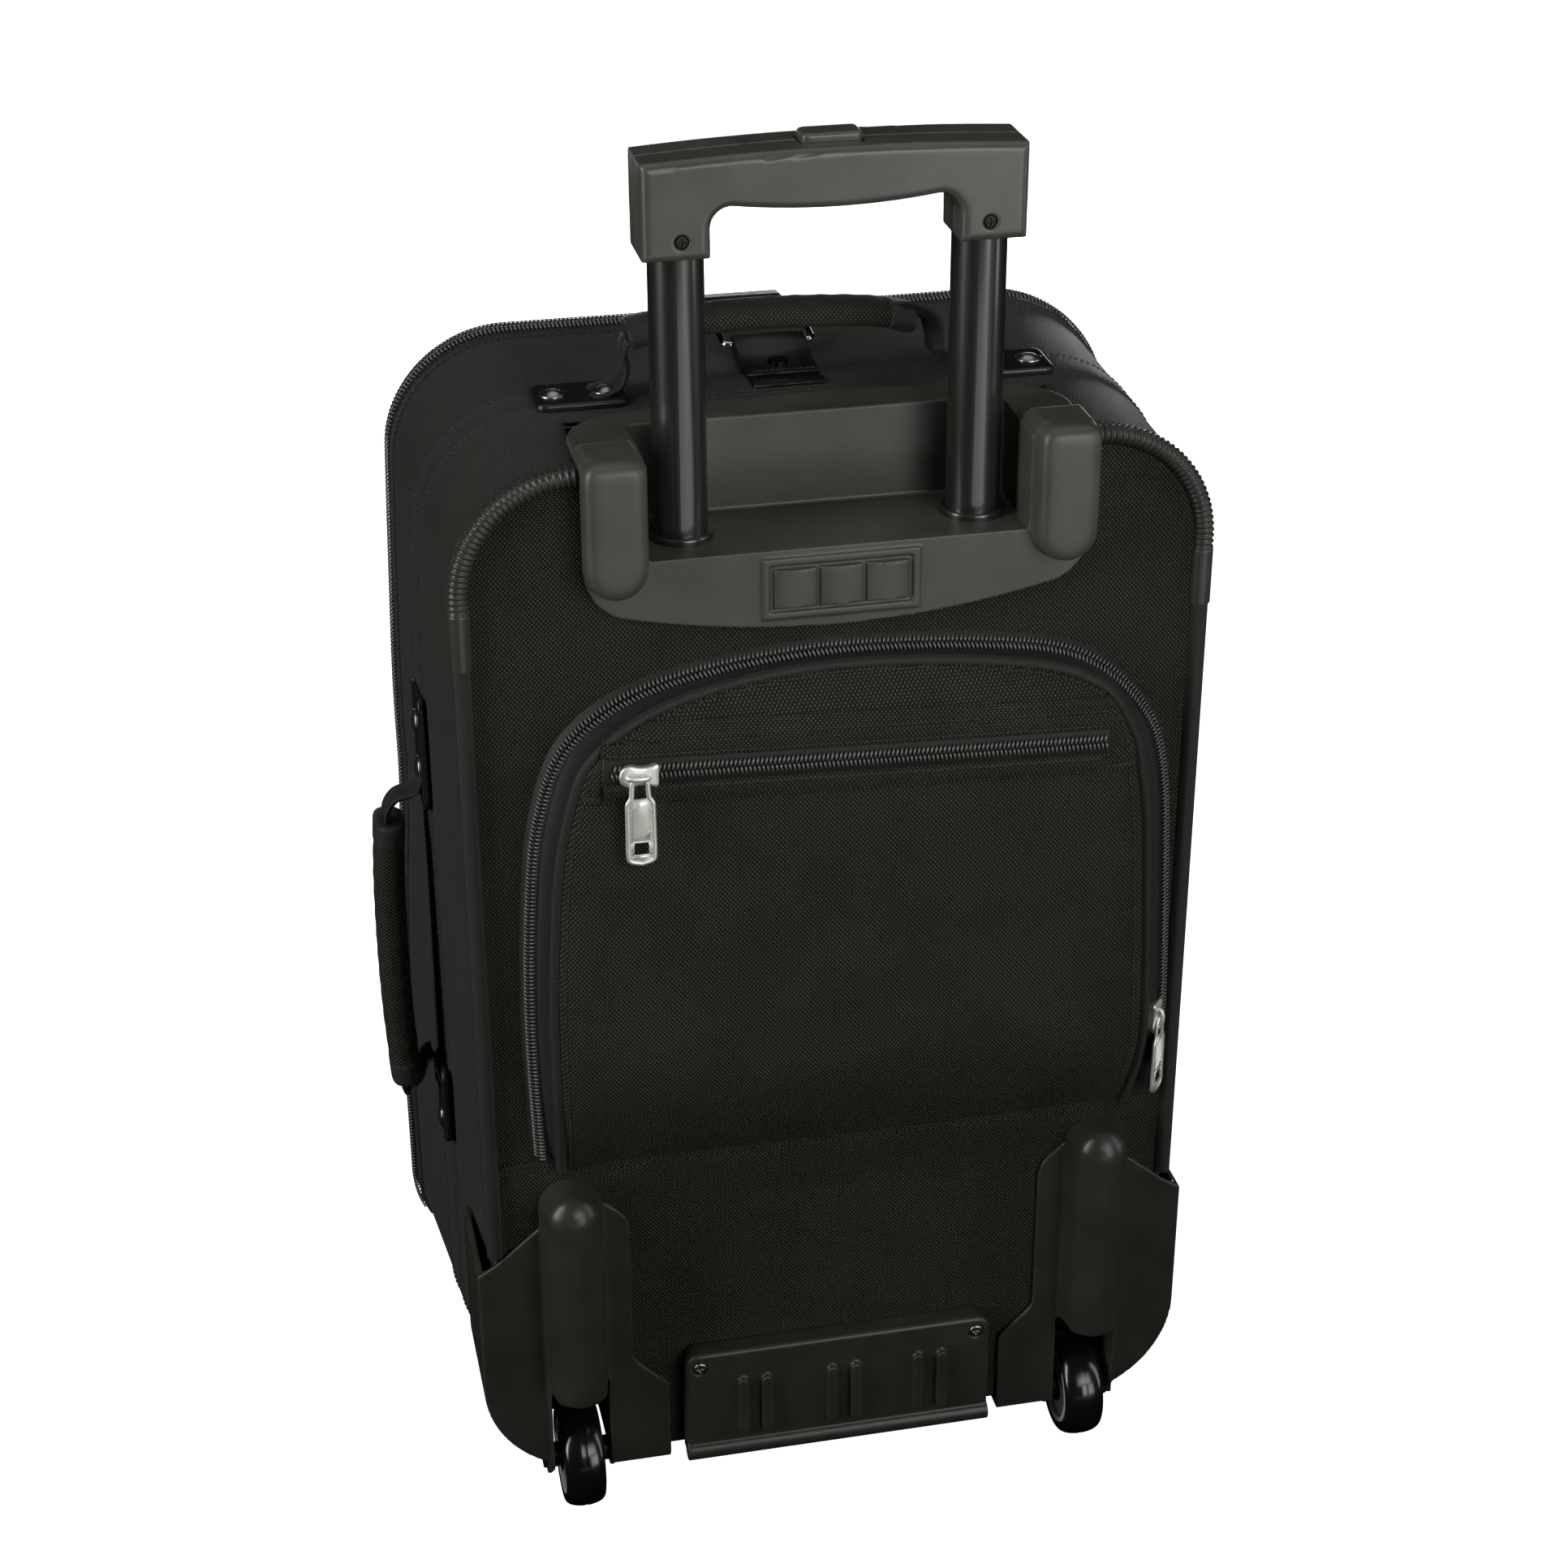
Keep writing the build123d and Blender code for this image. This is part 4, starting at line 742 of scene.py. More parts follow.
def outline_points():
    """The rounded outline at the back panel by distance from the bottom's middle, towards +X first."""
    half, flat = BACK_HALF - CORNER_R, CASE_TOP - CASE_BOTTOM - 2 * CORNER_R
    quarter = np.pi * CORNER_R / 2
    rows = [(0.0, 0.0, CASE_BOTTOM, 0.0, -1.0)]
    distance = 0.0
    corners = [(half, CASE_BOTTOM + CORNER_R, -90), (half, CASE_TOP - CORNER_R, 0),
               (-half, CASE_TOP - CORNER_R, 90), (-half, CASE_BOTTOM + CORNER_R, 180)]
    runs = [half, flat, 2 * half, flat]
    for (x, z, start), run in zip(corners, runs):
        distance += run
        for share in np.linspace(0, 1, 25):
            turn = math.radians(start + 90 * share)
            c, s = math.cos(turn), math.sin(turn)
            rows.append((distance + quarter * share, x + CORNER_R * c, z + CORNER_R * s, c, s))
        distance += quarter
    rows.append((distance + half, 0.0, CASE_BOTTOM, 0.0, -1.0))
    return np.array(rows)


OUTLINE = outline_points()
ROUND = OUTLINE[-1, 0]


def outline(distance):
    """x, z and the outward direction at distances round the back outline."""
    distance = np.mod(distance, ROUND)
    return [np.interp(distance, OUTLINE[:, 0], OUTLINE[:, k]) for k in range(1, 5)]


def fullness(x, y, z):
    """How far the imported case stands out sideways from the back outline, by height and depth."""
    share = np.clip((BACK_Y - y) / (BACK_Y - ZIP_Y), 0, 1.02)
    low = np.clip((545.0 - z) / 395.0, 0, 1) ** 0.8
    full_right = 6.0 + 15.0 * low - 2.5 * np.exp(-(((z - 315.0) / 45.0) ** 2))
    full_left = 14.0 - 8.0 * smooth(z, 430.0, 552.0)
    front = np.where(x > 0, full_right, full_left)
    middle = np.where(x > 0, 10.2 - 5.9 * smooth(z, 440.0, 550.0), 0.72 * full_left)
    half_way = 0.47
    bend = (half_way * front - middle) / (half_way - half_way**2)
    full = (front - bend) * share + bend * share**2
    ease = np.maximum(0, HOUSING_LOW[1] - 3.0 - y) * 0.6 + np.maximum(0, z - 196.0) * 0.5
    return np.minimum(full, HOUSING_HIGH[0] - 4.1 - BACK_HALF + ease)


def on_case(distance, y, out=0.0):
    """Points on the gusset's outside at distances round it and a depth, moved outwards."""
    distance, y, out = np.broadcast_arrays(*(np.asarray(value, float) for value in (distance, y, out)))
    x, z, nx, nz = outline(distance)
    ripple = 0.35 * np.sin(distance / 47.0 + y / 31.0) * np.clip((BACK_Y - y) / 30.0, 0, 1)
    wide = x * (1 + fullness(x, y, z) / BACK_HALF)
    return xyz(wide + nx * (out + ripple), y, z + nz * (out + 0.5 * ripple))


def case_path(start, end, y, out=0.0, step=2.0):
    """A path round the case at one depth."""
    distance = np.linspace(start, end, int(abs(end - start) / step) + 2)
    _, _, nx, nz = outline(distance)
    return Path(on_case(distance, y, out), xyz(nx, 0.0, nz))


def distance_at_z(z):
    """Distance round the outline where the +X side passes a height."""
    half = len(OUTLINE) // 2
    return np.interp(z, OUTLINE[:half, 2], OUTLINE[:half, 0])


def case_rows(distance, profile):
    """Rows of points round the case through a profile of (depth, outward) pairs."""
    depth, out = np.transpose(profile)
    return on_case(distance[:, None], depth, out)


def in_recess(x, z, margin):
    """Whether a place lies behind the trolley cup, narrowed by a margin."""
    return (np.abs(x) < CUP_HIGH[0] - margin) & (z > RECESS_Z)


def in_well(x, z):
    """Whether a place lies in a wheel's well."""
    return (np.abs(x) > WELL_IN) & (np.abs(x) < WELL_OUT) & (z < WELL_TOP)


def case_surface(name, start, end, profile, material, body, keep=None, **options):
    """A strip of cloth round the case, through a profile of (depth, outward) pairs."""
    solid = Solid()
    distance = np.linspace(start, end, int(abs(end - start) / 3.0) + 2)
    rows = case_rows(distance, profile)
    solid.grid(rows, xyz(distance[:, None], rows[..., 1], 0.0), keep=keep)
    return piece(name, solid, material, body, **options)


def stitch(solid, path, start=3.0, end=None, pitch=3.1, out=0.0, side=0.0):
    """A row of stitches along a path."""
    end = path.distance[-1] - 3.0 if end is None else end
    solid.scatter(STITCH, path, np.arange(start, end, pitch), out, side)


def stitching(name, threads, body="case", slot="zip_tape"):
    """The gathered stitches of one part, as a piece."""
    piece(f"{name}_stitching", threads, THREAD, body, slot=slot)


def zip_teeth(solid, path, side, pitch=2.0, width=8.0, out=0.0):
    """One half of a coil: side says which half, and the halves interlock."""
    first = 1.0 if side > 0 else 1.0 + pitch / 2
    solid.scatter(tooth(side, width), path, np.arange(first, path.distance[-1] - 1.0, pitch), out)


def build_gusset():
    """The fabric ring between the back panel and the zip, its lining and the trim strip round it."""
    def clear_of_openings(centres):
        x, y, z = np.transpose(centres)
        return ~(in_well(x, z) & (y > WELL_FRONT) | in_recess(x, z, 3.0) & (y > CUP_LOW[1] + 5.0))

    depths = [(y, 0.0) for y in np.linspace(-2.6, -186.2, 74)]
    fold = [(-187.0, -0.5), (-186.4, -1.2)]
    case_surface("gusset_fabric", 0, ROUND, depths + fold, SATIN, "case", slot="ballistic_nylon",
                 replaces=("gusset_top", "gusset_sides", "gusset_bottom"), weld=0.01, thick=1.6,
                 keep=clear_of_openings)
    lining = [(y, -3.0) for y in np.linspace(-188.5, -50.6, 40)] + [(-50.3, -9.0)]
    case_surface("gusset_lining", 0, ROUND, lining, LINING, "case", slot="lining", weld=0.01,
                 keep=clear_of_openings)
    start = distance_at_z(HOUSING_LOW[2] + 30)
    end = ROUND - start
    high, low = TRIM_Y
    strip = [(high, -0.8), (high, 0.3), (high - 0.7, 0.75), (low + 0.7, 0.75), (low, 0.3), (low, -0.8)]
    case_surface("gusset_trim_strip", start, end, strip, SATIN, "case", slot="ballistic_nylon")
    threads = Solid()
    for y in (high - 2.6, low + 2.6):
        stitch(threads, case_path(start, end, y, 0.8))
    stitch(threads, case_path(start, end, -179.0, 0.25))
    stitching("gusset", threads)


def build_back_edge():
    """Piping down both sides, ribbed protectors round the top corners, and the tape beside them."""
    low = distance_at_z(PIPING_LOW[2])
    sleeve = distance_at_z(PROTECTOR_END_Z)
    rib_start = distance_at_z(494.0)
    cup = distance_at_z(CASE_TOP - CORNER_R) + np.pi / 2 * CORNER_R + 0.8
    piping, sleeves, threads = Solid(), Solid(), Solid()
    for mirror in (False, True):
        def stretch(start, end, step=2.0):
            if mirror:
                start, end = ROUND - end, ROUND - start
            return case_path(start, end, 0.0, 0.0, step)

        piping.sweep(stretch(low, sleeve + 2.0), oval(PIPING_R, 14))
        path = stretch(sleeve, cup, 0.3)
        along = path.distance[-1] - path.distance if mirror else path.distance
        ribbed = smooth(along, rib_start - sleeve, rib_start - sleeve + 1.0)
        rib = np.abs(np.cos(np.pi * (along - rib_start + sleeve) / 2.7)) ** 0.7
        radius = 4.75 + ribbed * (0.25 - 1.05 * rib)
        sleeves.sweep(path, oval(1.0, 20)[None] * radius[:, None, None])
        stitch(threads, case_path(*((ROUND - cup, ROUND - low) if mirror else (low, cup)), -12.6, 0.75))
    piece("back_piping_cord", piping, PIPING, "case", "piping_fabric", ("back_piping",))
    piece("corner_protector_sleeves", sleeves, PROTECTOR, "case", "protector_rubber", ("corner_protectors",))
    strip = [(-3.0, -0.5), (-4.2, 0.55), (-5.0, 0.8), (-13.2, 0.7), (-13.9, 0.2), (-14.0, -0.6)]
    case_surface("piping_flange_tape", low - 60, ROUND - low + 60, strip, PIPING, "case", slot="piping_fabric",
                 keep=lambda centres: ~in_recess(centres[:, 0], centres[:, 2], 2.0))
    stitching("piping", threads, slot="piping_fabric")


def build_wire_frame():
    """The spring-steel hoops that hold the gusset in shape, one at the back and one at the zip."""
    hoops = Solid()
    hoops.sweep(case_path(0, ROUND, -183.0, -4.8, 4.0), oval(1.5, 8), caps=False)
    back = case_path(0, ROUND, -10.0, -4.8, 2.0)
    x, _, z = back.points.T
    gap = in_recess(x, z, -2.0) | in_well(x, z)
    ends = np.flatnonzero(np.diff(np.concatenate([[1], gap, [1]])))
    for first, last in zip(ends[::2], ends[1::2]):
        hoops.sweep(Path(back.points[first:last], back.out[first:last]), oval(1.5, 8))
    piece("gusset_wire_hoops", hoops, STEEL, "case", "spring_steel", ("wire_frame",))


def build_back_panel():
    """The back panel's cloth: an upper and a lower piece, joined in a lapped seam below the pocket."""
    seam_z = POCKET_LOW[2] - 1.0
    half, inset = BACK_HALF - 2.6, 2.6

    def edge_limit(z):
        """Half-width of the panel at a height, inside the piping."""
        radius = CORNER_R - inset
        into = np.clip(np.maximum(z - (CASE_TOP - CORNER_R), (CASE_BOTTOM + CORNER_R) - z), 0, radius)
        return half - radius + np.sqrt(np.maximum(radius**2 - into**2, 0))

    def sheet(z_low, z_high, lift):
        """Rows across the panel, and their height off the board."""
        z = np.linspace(z_low, z_high, int((z_high - z_low) / 3) + 2)
        share = np.linspace(-1, 1, 111)
        x = edge_limit(z)[:, None] * share
        return xyz(x, lift(x, z[:, None]), z[:, None])

    def clear_of_mouldings(centres):
        x, z = np.abs(centres[:, 0]), centres[:, 2]
        return ~(((x < 104) & (z > RECESS_Z)) | ((x > 106) & (z < 84)) | ((x < 60) & (z > 489)))

    def flat(x, z):
        return 0.12 + 0.1 * np.sin(x / 37.0) * np.sin(z / 29.0 + x / 90.0)

    def swell(x, z):
        pocket = 1 - smooth(np.abs(x - (POCKET_LOW[0] + POCKET_HIGH[0]) / 2), 118.0, 152.0)
        return flat(x, z) + (1.0 + 5.2 * pocket) * smooth(z, seam_z - 34.0, seam_z + 2.0) + 0.15

    for name, rows in (
        ("back_panel_upper_cloth", sheet(seam_z - 6, CASE_TOP - inset - 0.4, flat)),
        ("back_panel_lower_cloth", sheet(CASE_BOTTOM + inset + 0.4, seam_z + 2.4, swell)),
    ):
        solid = Solid()
        solid.grid(rows, facing(rows), keep=clear_of_mouldings)
        piece(name, solid, WEAVE, "case", slot="ballistic_nylon")
    x = np.linspace(-half + 1, half - 1, 150)
    lap, row = seam_z + 2.4, seam_z - 1.0
    seam, threads = Solid(), Solid()
    seam.sweep(Path(xyz(x, swell(x, lap), lap), BACKWARDS).shifted(-0.5), oval(0.95, 10))
    piece("back_seam_fold", seam, WEAVE, "case", slot="ballistic_nylon")
    stitch(threads, Path(xyz(x, swell(x, row) + 0.12, row), BACKWARDS))
    stitching("back_seam", threads)


def facing(rows):
    """Cloth coordinates of a surface seen straight from the back or the front."""
    return xyz(rows[..., 0], rows[..., 2], 0.0)


def build_main_zip():
    """The zip round the front: a taped half on the case and one on the lid, with interlocking coils."""
    start = distance_at_z(ZIP_END_Z)
    end = ROUND - start
    for side, half, body in ((1, "case", "case"), (-1, "lid", "lid")):
        y = ZIP_Y + side * np.array([7.6, 7.3, 6.4, 1.0, 0.35])
        tape = list(zip(y, (-0.3, 0.9, 1.25, 1.2, 0.3)))
        case_surface(f"main_zip_tape_{half}", start, end, tape, TAPE, body, slot="zip_tape")
        teeth, threads = Solid(), Solid()
        zip_teeth(teeth, case_path(start, end, ZIP_Y, 1.5), side, width=9.4)
        piece(f"main_zip_coil_{half}", teeth, COIL, body, "zip_tape", (f"main_zip_{half}",))
        stitch(threads, case_path(start, end, ZIP_Y + side * 6.2, 1.3))
        piece(f"main_zip_stitching_{half}", threads, THREAD, body, slot="zip_tape")
        welt = Solid()
        welt.sweep(case_path(start, end, ZIP_Y + side * 8.9, 0.2), oval(1.7, 10))
        piece(f"main_zip_welt_{half}", welt, PIPING, body, slot="piping_fabric")


def closed_in(rows, middle_x, middle_z, shares):
    """Rows of points carried on from their last ring in towards a middle line."""
    ring = rows[:, -1]
    middle = xyz(middle_x, ring[:, 1], middle_z)[:, None]
    return np.concatenate([rows, middle + (ring[:, None] - middle) * np.asarray(shares)[:, None]], 1)


def lid_shell(profile):
    """The lid's sides through a profile of (depth, outward) pairs, closed by its flat front."""
    distance = np.linspace(0, ROUND, 400)
    rows = case_rows(distance, profile)
    middle_z = np.clip(rows[:, -1, 2], CASE_BOTTOM + 170, CASE_TOP - 170)
    rows = closed_in(rows, 0.0, middle_z, np.linspace(0.93, 0, 15))
    y = rows[..., 1]
    on_face = np.abs(y - y[0, -1])[..., None] < 9
    solid = Solid()
    solid.grid(rows, np.where(on_face, rows[..., (0, 2, 1)], xyz(distance[:, None], y, 0.0)))
    return solid


def build_lid():
    """The lid's cloth shell and its lining."""
    edge = 11.0
    face = LID_FACE_Y + 0.3
    turn = np.linspace(0, np.pi / 2, 8)
    corner = list(zip(face + edge - edge * np.sin(turn), edge * np.cos(turn) - edge - 4.6))
    outer = [(ZIP_Y - 0.8, -2.6), (ZIP_Y - 0.8, 0.0), (ZIP_Y - 6.0, -0.6), (ZIP_Y - 12.0, -2.8)] + corner
    outer += [(face, -22.0), (face, -34.0), (face, -46.0)]
    inner = [(ZIP_Y - 0.9, -2.7), (ZIP_Y - 12, -5.8), (face + 8.4, -8.2), (face + 5.9, -13.6)]
    inner += [(face + 5.8, -46.0)]
    piece("lid_fabric", lid_shell(outer), WEAVE_LID, "lid", "ballistic_nylon", ("lid_shell",), weld=0.4)
    piece("lid_lining", lid_shell(inner), LINING, "lid", slot="lining", weld=0.4)


def build_hinge_fold():
    """The fold of cloth that the lid hinges on."""
    half = BACK_HALF - CORNER_R - 4.0
    x = np.linspace(-half, half, 60)[:, None]
    y = np.linspace(ZIP_Y + 6.0, ZIP_Y - 6.0, 25)
    fold = Solid()
    fold.grid(xyz(x, y, CASE_BOTTOM - 0.5), xyz(x, y, 0.0))
    made = piece("lid_hinge_fold", fold, SATIN, None, slot="ballistic_nylon")
    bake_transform(made)
    2 * half * MM


# ---------------------------------------------------------------- pockets


def rounded_outline(low, high, radius):
    """x, z and outward direction round a rectangle with round corners."""
    rows = []
    left, right, bottom, top = low[0] + radius, high[0] - radius, low[1] + radius, high[1] - radius
    for x, z, start in ((right, top, 0), (left, top, 90), (left, bottom, 180), (right, bottom, 270)):
        for share in np.linspace(0, 1, 16):
            turn = math.radians(start + 90 * share)
            c, s = math.cos(turn), math.sin(turn)
            rows.append((x + radius * c, z + radius * s, c, s))
    rows = np.array([*rows, rows[0]])
    known = travelled(np.hypot(*np.diff(rows[:, :2], axis=0).T))
    return resampled(np.linspace(0, known[-1], int(known[-1] / 4)), known, rows)


def zip_on(name, path, body, teeth_from=0.0, replaces=()):
    """A coil zip with its tape, the two cloth lips beside it and their stitching, laid along a path."""
    tape, lips, threads, teeth = Solid(), Solid(), Solid(), Solid()
    tape.sweep(path, band(13.0, 0.5))
    for side in (-1, 1):
        lips.sweep(path.shifted(0.0, side * 9.6), band(7.2, 1.25))
        stitch(threads, path, out=1.3, side=side * 8.0, pitch=2.9)
        zip_teeth(teeth, path.part(teeth_from, path.distance[-1]), side, 1.95, 7.0, 0.35)
    piece(f"{name}_tape", tape, TAPE, body, slot="zip_tape")
    piece(f"{name}_lips", lips, WEAVE, body, slot="ballistic_nylon")
    stitching(name, threads, body)
    piece(f"{name}_coil", teeth, COIL, body, "zip_tape", replaces)


def pouch_rings(outline_rows, base, front, edge):
    """Rings of points up a pouch's side, round its edge and onto its face."""
    x, z, nx, nz = outline_rows.T
    turn = np.linspace(0, np.pi / 2, 6)
    profile = [(base, 0.0), (base - 2.0, 0.6), ((base + front + edge) / 2, 0.5)]
    profile += list(zip(front + edge - edge * np.sin(turn), edge * np.cos(turn) - edge))
    profile += [(front, -14.0), (front, -19.0), (front, -23.0)]
    return np.stack([xyz(x + nx * out, y, z + nz * out) for y, out in profile], 1)


def build_lid_pocket(node, zip_z, pressure, cap):
    """A padded pouch on the lid, filled by simulation, with piping round it."""
    low, high = span(node)
    base, front = high[1] + 0.2, low[1] + 2.2
    edge = min(9.0, (high[1] - low[1]) * 0.6)
    rows = rounded_outline(low[[0, 2]] + 1.0, high[[0, 2]] - 1.0, 24.0)
    rings = pouch_rings(rows, base, front, edge)
    half_long = max(0.0, (high[0] - low[0] - (high[2] - low[2])) / 2)
    middle_x = np.clip(rings[:, -1, 0], -half_long, half_long)
    places = closed_in(rings, middle_x, (low[2] + high[2]) / 2, np.linspace(1, 0, 24)[1:])
    solid = Solid()
    solid.grid(places, facing(places))
    name = node.replace("lid_", "front_")
    made = piece(f"{name}_pouch", solid, WEAVE_LID, "lid", "ballistic_nylon", (node,), weld=0.6)
    points = vertices(made)
    near_zip = (np.abs(points[:, 2] - zip_z) < 9.0) & (points[:, 1] < front + 1)
    puff(made, pressure, cap, (points[:, 1] > base - 1.2) | near_zip)
    x, z, nx, nz = rows.T
    foot = Path(xyz(x + nx * 1.6, base - 1.6, z + nz * 1.6), xyz(nx, 0.0, nz))
    cord, threads = Solid(), Solid()
    cord.sweep(foot, oval(1.9, 10), caps=False)
    stitch(threads, foot.shifted(4.2))
    piece(f"{name}_piping", cord, PIPING, "lid", slot="piping_fabric")
    stitching(name, threads, "lid")
    build_pouch_zip(name, made, low[1], zip_z, ("lid_pocket_zips",) if node.endswith("lower") else ())


def build_pouch_zip(name, pouch, front, zip_z, replaces):
    """The straight zip across a pouch on the lid, with its slider and pull."""
    half = span("lid_pocket_zips")[1][0]
    line = xyz(np.linspace(half, -half, 130), front - 20.0, zip_z)
    path = Surface(pouch).lay(line, (0, 1, 0), back=0.0)
    zip_on(f"{name}_zip", path, "lid", replaces=replaces)
    place, along, out, _ = path.at([path.distance[-1] - 16.0])
    metal_slider(f"{name}_slider", "lid", place[0] + out[0] * 0.4, -along[0], out[0])
    metal_pull(f"{name}_pull", "lid", place[0] + out[0] * 5.8, -UP - 0.12 * out[0], out[0])


# The zipped back pocket: its zip's line as shares of the pocket zip's half-width and height, from the
# foot on the +X side, up and over to the foot on the -X side
U_LINE = (
    (0.975, -0.02), (0.988, 0.27), (0.975, 0.51), (0.935, 0.71), (0.83, 0.855), (0.58, 0.94), (0.12, 0.98),
    (-0.38, 0.966), (-0.71, 0.925), (-0.905, 0.82), (-0.985, 0.685), (-1.015, 0.43), (-1.03, 0.17),
    (-1.02, -0.02),
)
# Its section from outside the zip to the face: distance inwards and height off the panel
OUTER_TAPE = ((-4.8, 0.2), (-4.4, 1.0), (-2.8, 2.8), (-0.5, 5.0))
INNER_TAPE = ((0.5, 5.8), (3.4, 8.6), (6.6, 11.6), (9.4, 15.4), (10.6, 18.6))
POCKET_EDGE = ((10, 18), (11.6, 20.4), (14.2, 24.6), (16.6, 26.8), (19.6, 28.3), (24, 29.2), (30, 29.6))
WELT = (12.2, 23.0)


class BackPocket:
    """Places on the back pocket, by distance along its zip and its section."""

    def __init__(self):
        low, high = U_ZIP_LOW, U_ZIP_HIGH
        centre, half = (low[0] + high[0]) / 2 - 1.0, (high[0] - low[0]) / 2
        points = [(centre + a * half, 0.0, low[2] + b * (high[2] - low[2])) for a, b in U_LINE]
        self.line = curve(points, BACKWARDS, 1.5)
        self.inward = -self.line.side
        self.centre = centre
        if np.sum(self.inward[:, 0] * (centre - self.line.points[:, 0])) < 0:
            self.inward = -self.inward
        # Inside the zip the edge is widest down the side away from the carry handle, and narrow on top
        across, down = self.inward[:, 0], -self.inward[:, 2]
        self.width = 0.68 + 0.5 * smooth(across, 0.55, 1.0) - 0.36 * smooth(down, 0.1, 0.95)
        self.zip_z = span("pocket_slider")[0][2]

    def rise(self, z):
        """The pocket's depth runs out towards the seam at its foot, and falls off above the straight zip."""
        share = np.clip((z - POCKET_LOW[2]) / 62.0, 0, 1)
        above = smooth(z, self.zip_z + 14.0, POCKET_HIGH[2] - 4.0)
        return (0.2 + 0.8 * np.sin(share * np.pi / 2)) * (1.0 - 0.5 * above)

    def place(self, inwards, height):
        """A line of points at a distance inwards from the zip and a height off the panel."""
        wide = self.width if inwards > 0 else np.ones(len(self.width))
        points = self.line.points + self.inward * inwards * wide[:, None]
        points[:, 1] = height * self.rise(points[:, 2])
        return points

    def sides(self, z):
        """How far the face reaches to each side at a height."""
        edge = self.place(14.8, 0.0)
        edge = edge[np.argsort(edge[:, 2])]
        halves = edge[edge[:, 0] < self.centre], edge[edge[:, 0] > self.centre]
        return [np.interp(z, half[:, 2], half[:, 0]) for half in halves]

    def rows(self, section):
        """Rows of points along the pocket through section pairs."""
        return np.stack([self.place(inwards, height) for inwards, height in section], 1)

    def strip(self, section):
        """A gathered surface through section pairs, with its cloth coordinates along the zip."""
        across = travelled(np.hypot(*np.diff(np.array(section), axis=0).T))
        solid = Solid()
        solid.grid(self.rows(section), xyz(self.line.distance[:, None], across, 0.0))
        return solid


def build_back_pocket():
    """The back pocket: face, welt, tapes and the zip that runs up and over it."""
    pocket = BackPocket()
    rows = pocket.rows(POCKET_EDGE)
    middle_z = np.clip(rows[:, -1, 2], POCKET_LOW[2] - 30, POCKET_HIGH[2] - 118)
    shares = np.linspace(1, 0, 26)[1:]
    places = closed_in(rows, pocket.centre, middle_z, shares)
    crown = POCKET_EDGE[-1][1] + 0.9 * (1 - shares**3)
    places[:, -len(shares):, 1] = crown * pocket.rise(places[:, -len(shares):, 2])
    face = Solid()
    face.grid(places, facing(places))
    made = piece("back_pocket_face", face, WEAVE, "case", "ballistic_nylon", ("back_pocket",), weld=0.5)
    piece("back_pocket_outer_tape", pocket.strip(OUTER_TAPE), TAPE, "case", slot="zip_tape")
    piece("back_pocket_inner_tape", pocket.strip(INNER_TAPE), TAPE, "case", slot="zip_tape")
    welt = Solid()
    welt.sweep(Path(pocket.place(*WELT), BACKWARDS), oval(2.5, 14))
    piece("back_pocket_welt", welt, PIPING, "case", slot="piping_fabric")
    lean = math.radians(40)
    outward = -pocket.inward * math.cos(lean) + BACKWARDS * math.sin(lean)
    zip_path = Path(pocket.place(0.0, 5.2), outward)
    teeth, threads = Solid(), Solid()
    trimmed = zip_path.part(6.0, zip_path.distance[-1] - 46.0, 1.0)
    for side in (-1, 1):
        zip_teeth(teeth, trimmed, side, 1.95, 7.0, 0.2)
    piece("back_pocket_zip_coil", teeth, COIL, "case", "zip_tape", ("back_pocket_zips",))
    stitch(threads, Path(pocket.place(18.2, 27.9), BACKWARDS), out=0.1)
    stitching("back_pocket", threads)
    build_panel_zip(made, pocket)


def build_panel_zip(face, pocket):
    """The straight zip across the back pocket, with its seams above and below."""
    along = unit(JOINTS["pocket_zip_slide"]["axis"])
    slider = sum(span("pocket_slider")) / 2
    surface = Surface(face)
    reach = 9.0
    length = 224.0

    def across(offset, start, end):
        line = [slider + along * t + UP * offset for t in np.arange(start, end, 2.0)]
        laid = surface.lay(line, (0, -1, 0), back=40.0)
        low, high = pocket.sides(laid.points[:, 2])
        inside = laid.distance[(laid.points[:, 0] > low) & (laid.points[:, 0] < high)]
        return laid.part(inside[0], inside[-1], 1.0)

    zip_on("back_pocket_panel_zip", across(0.0, -reach - 6.0, length - reach), "case", teeth_from=3.0)
    threads, seam = Solid(), Solid()
    for offset in (12.4, 15.0, 19.2):
        stitch(threads, across(offset, -26.0, length + 2.0), pitch=2.8, out=0.35)
    stitch(threads, across(-12.6, -30.0, length + 6.0), pitch=2.8, out=0.35)
    seam.sweep(across(16.8, -26.0, length + 2.0), band(9.6, 0.55))
    seam.sweep(across(-13.4, -30.0, length + 8.0), band(4.0, 0.45))
    piece("back_pocket_panel_seam", seam, WEAVE, "case", slot="ballistic_nylon")
    stitching("back_pocket_panel", threads)


# ---------------------------------------------------------------- zip sliders and pulls

JOINTS = {joint["name"]: joint for joint in frame["joints"]}


def placed(solid, origin, along, outward):
    """A small shape, made as (along, outward, sideways), set into the frame."""
    along = unit(along)
    outward = unit(np.asarray(outward) - np.dot(outward, along) * along)
    axes = np.stack([along, outward, np.cross(along, outward)])
    solid.places = [np.asarray(origin) + places @ axes for places in solid.places]
    return solid


def loft(solid, outline, levels):
    """A solid through copies of an outline, each scaled and raised: levels are (scale, height)."""
    outline = np.asarray(outline, float)
    middle = (outline.min(0) + outline.max(0)) / 2
    rows = []
    for scale, height in levels:
        flat = middle + (outline - middle) * scale
        rows.append(xyz(flat[:, 0], height, flat[:, 1]))
    rows = np.stack(rows)
    solid.tube(rows, 0 * rows)


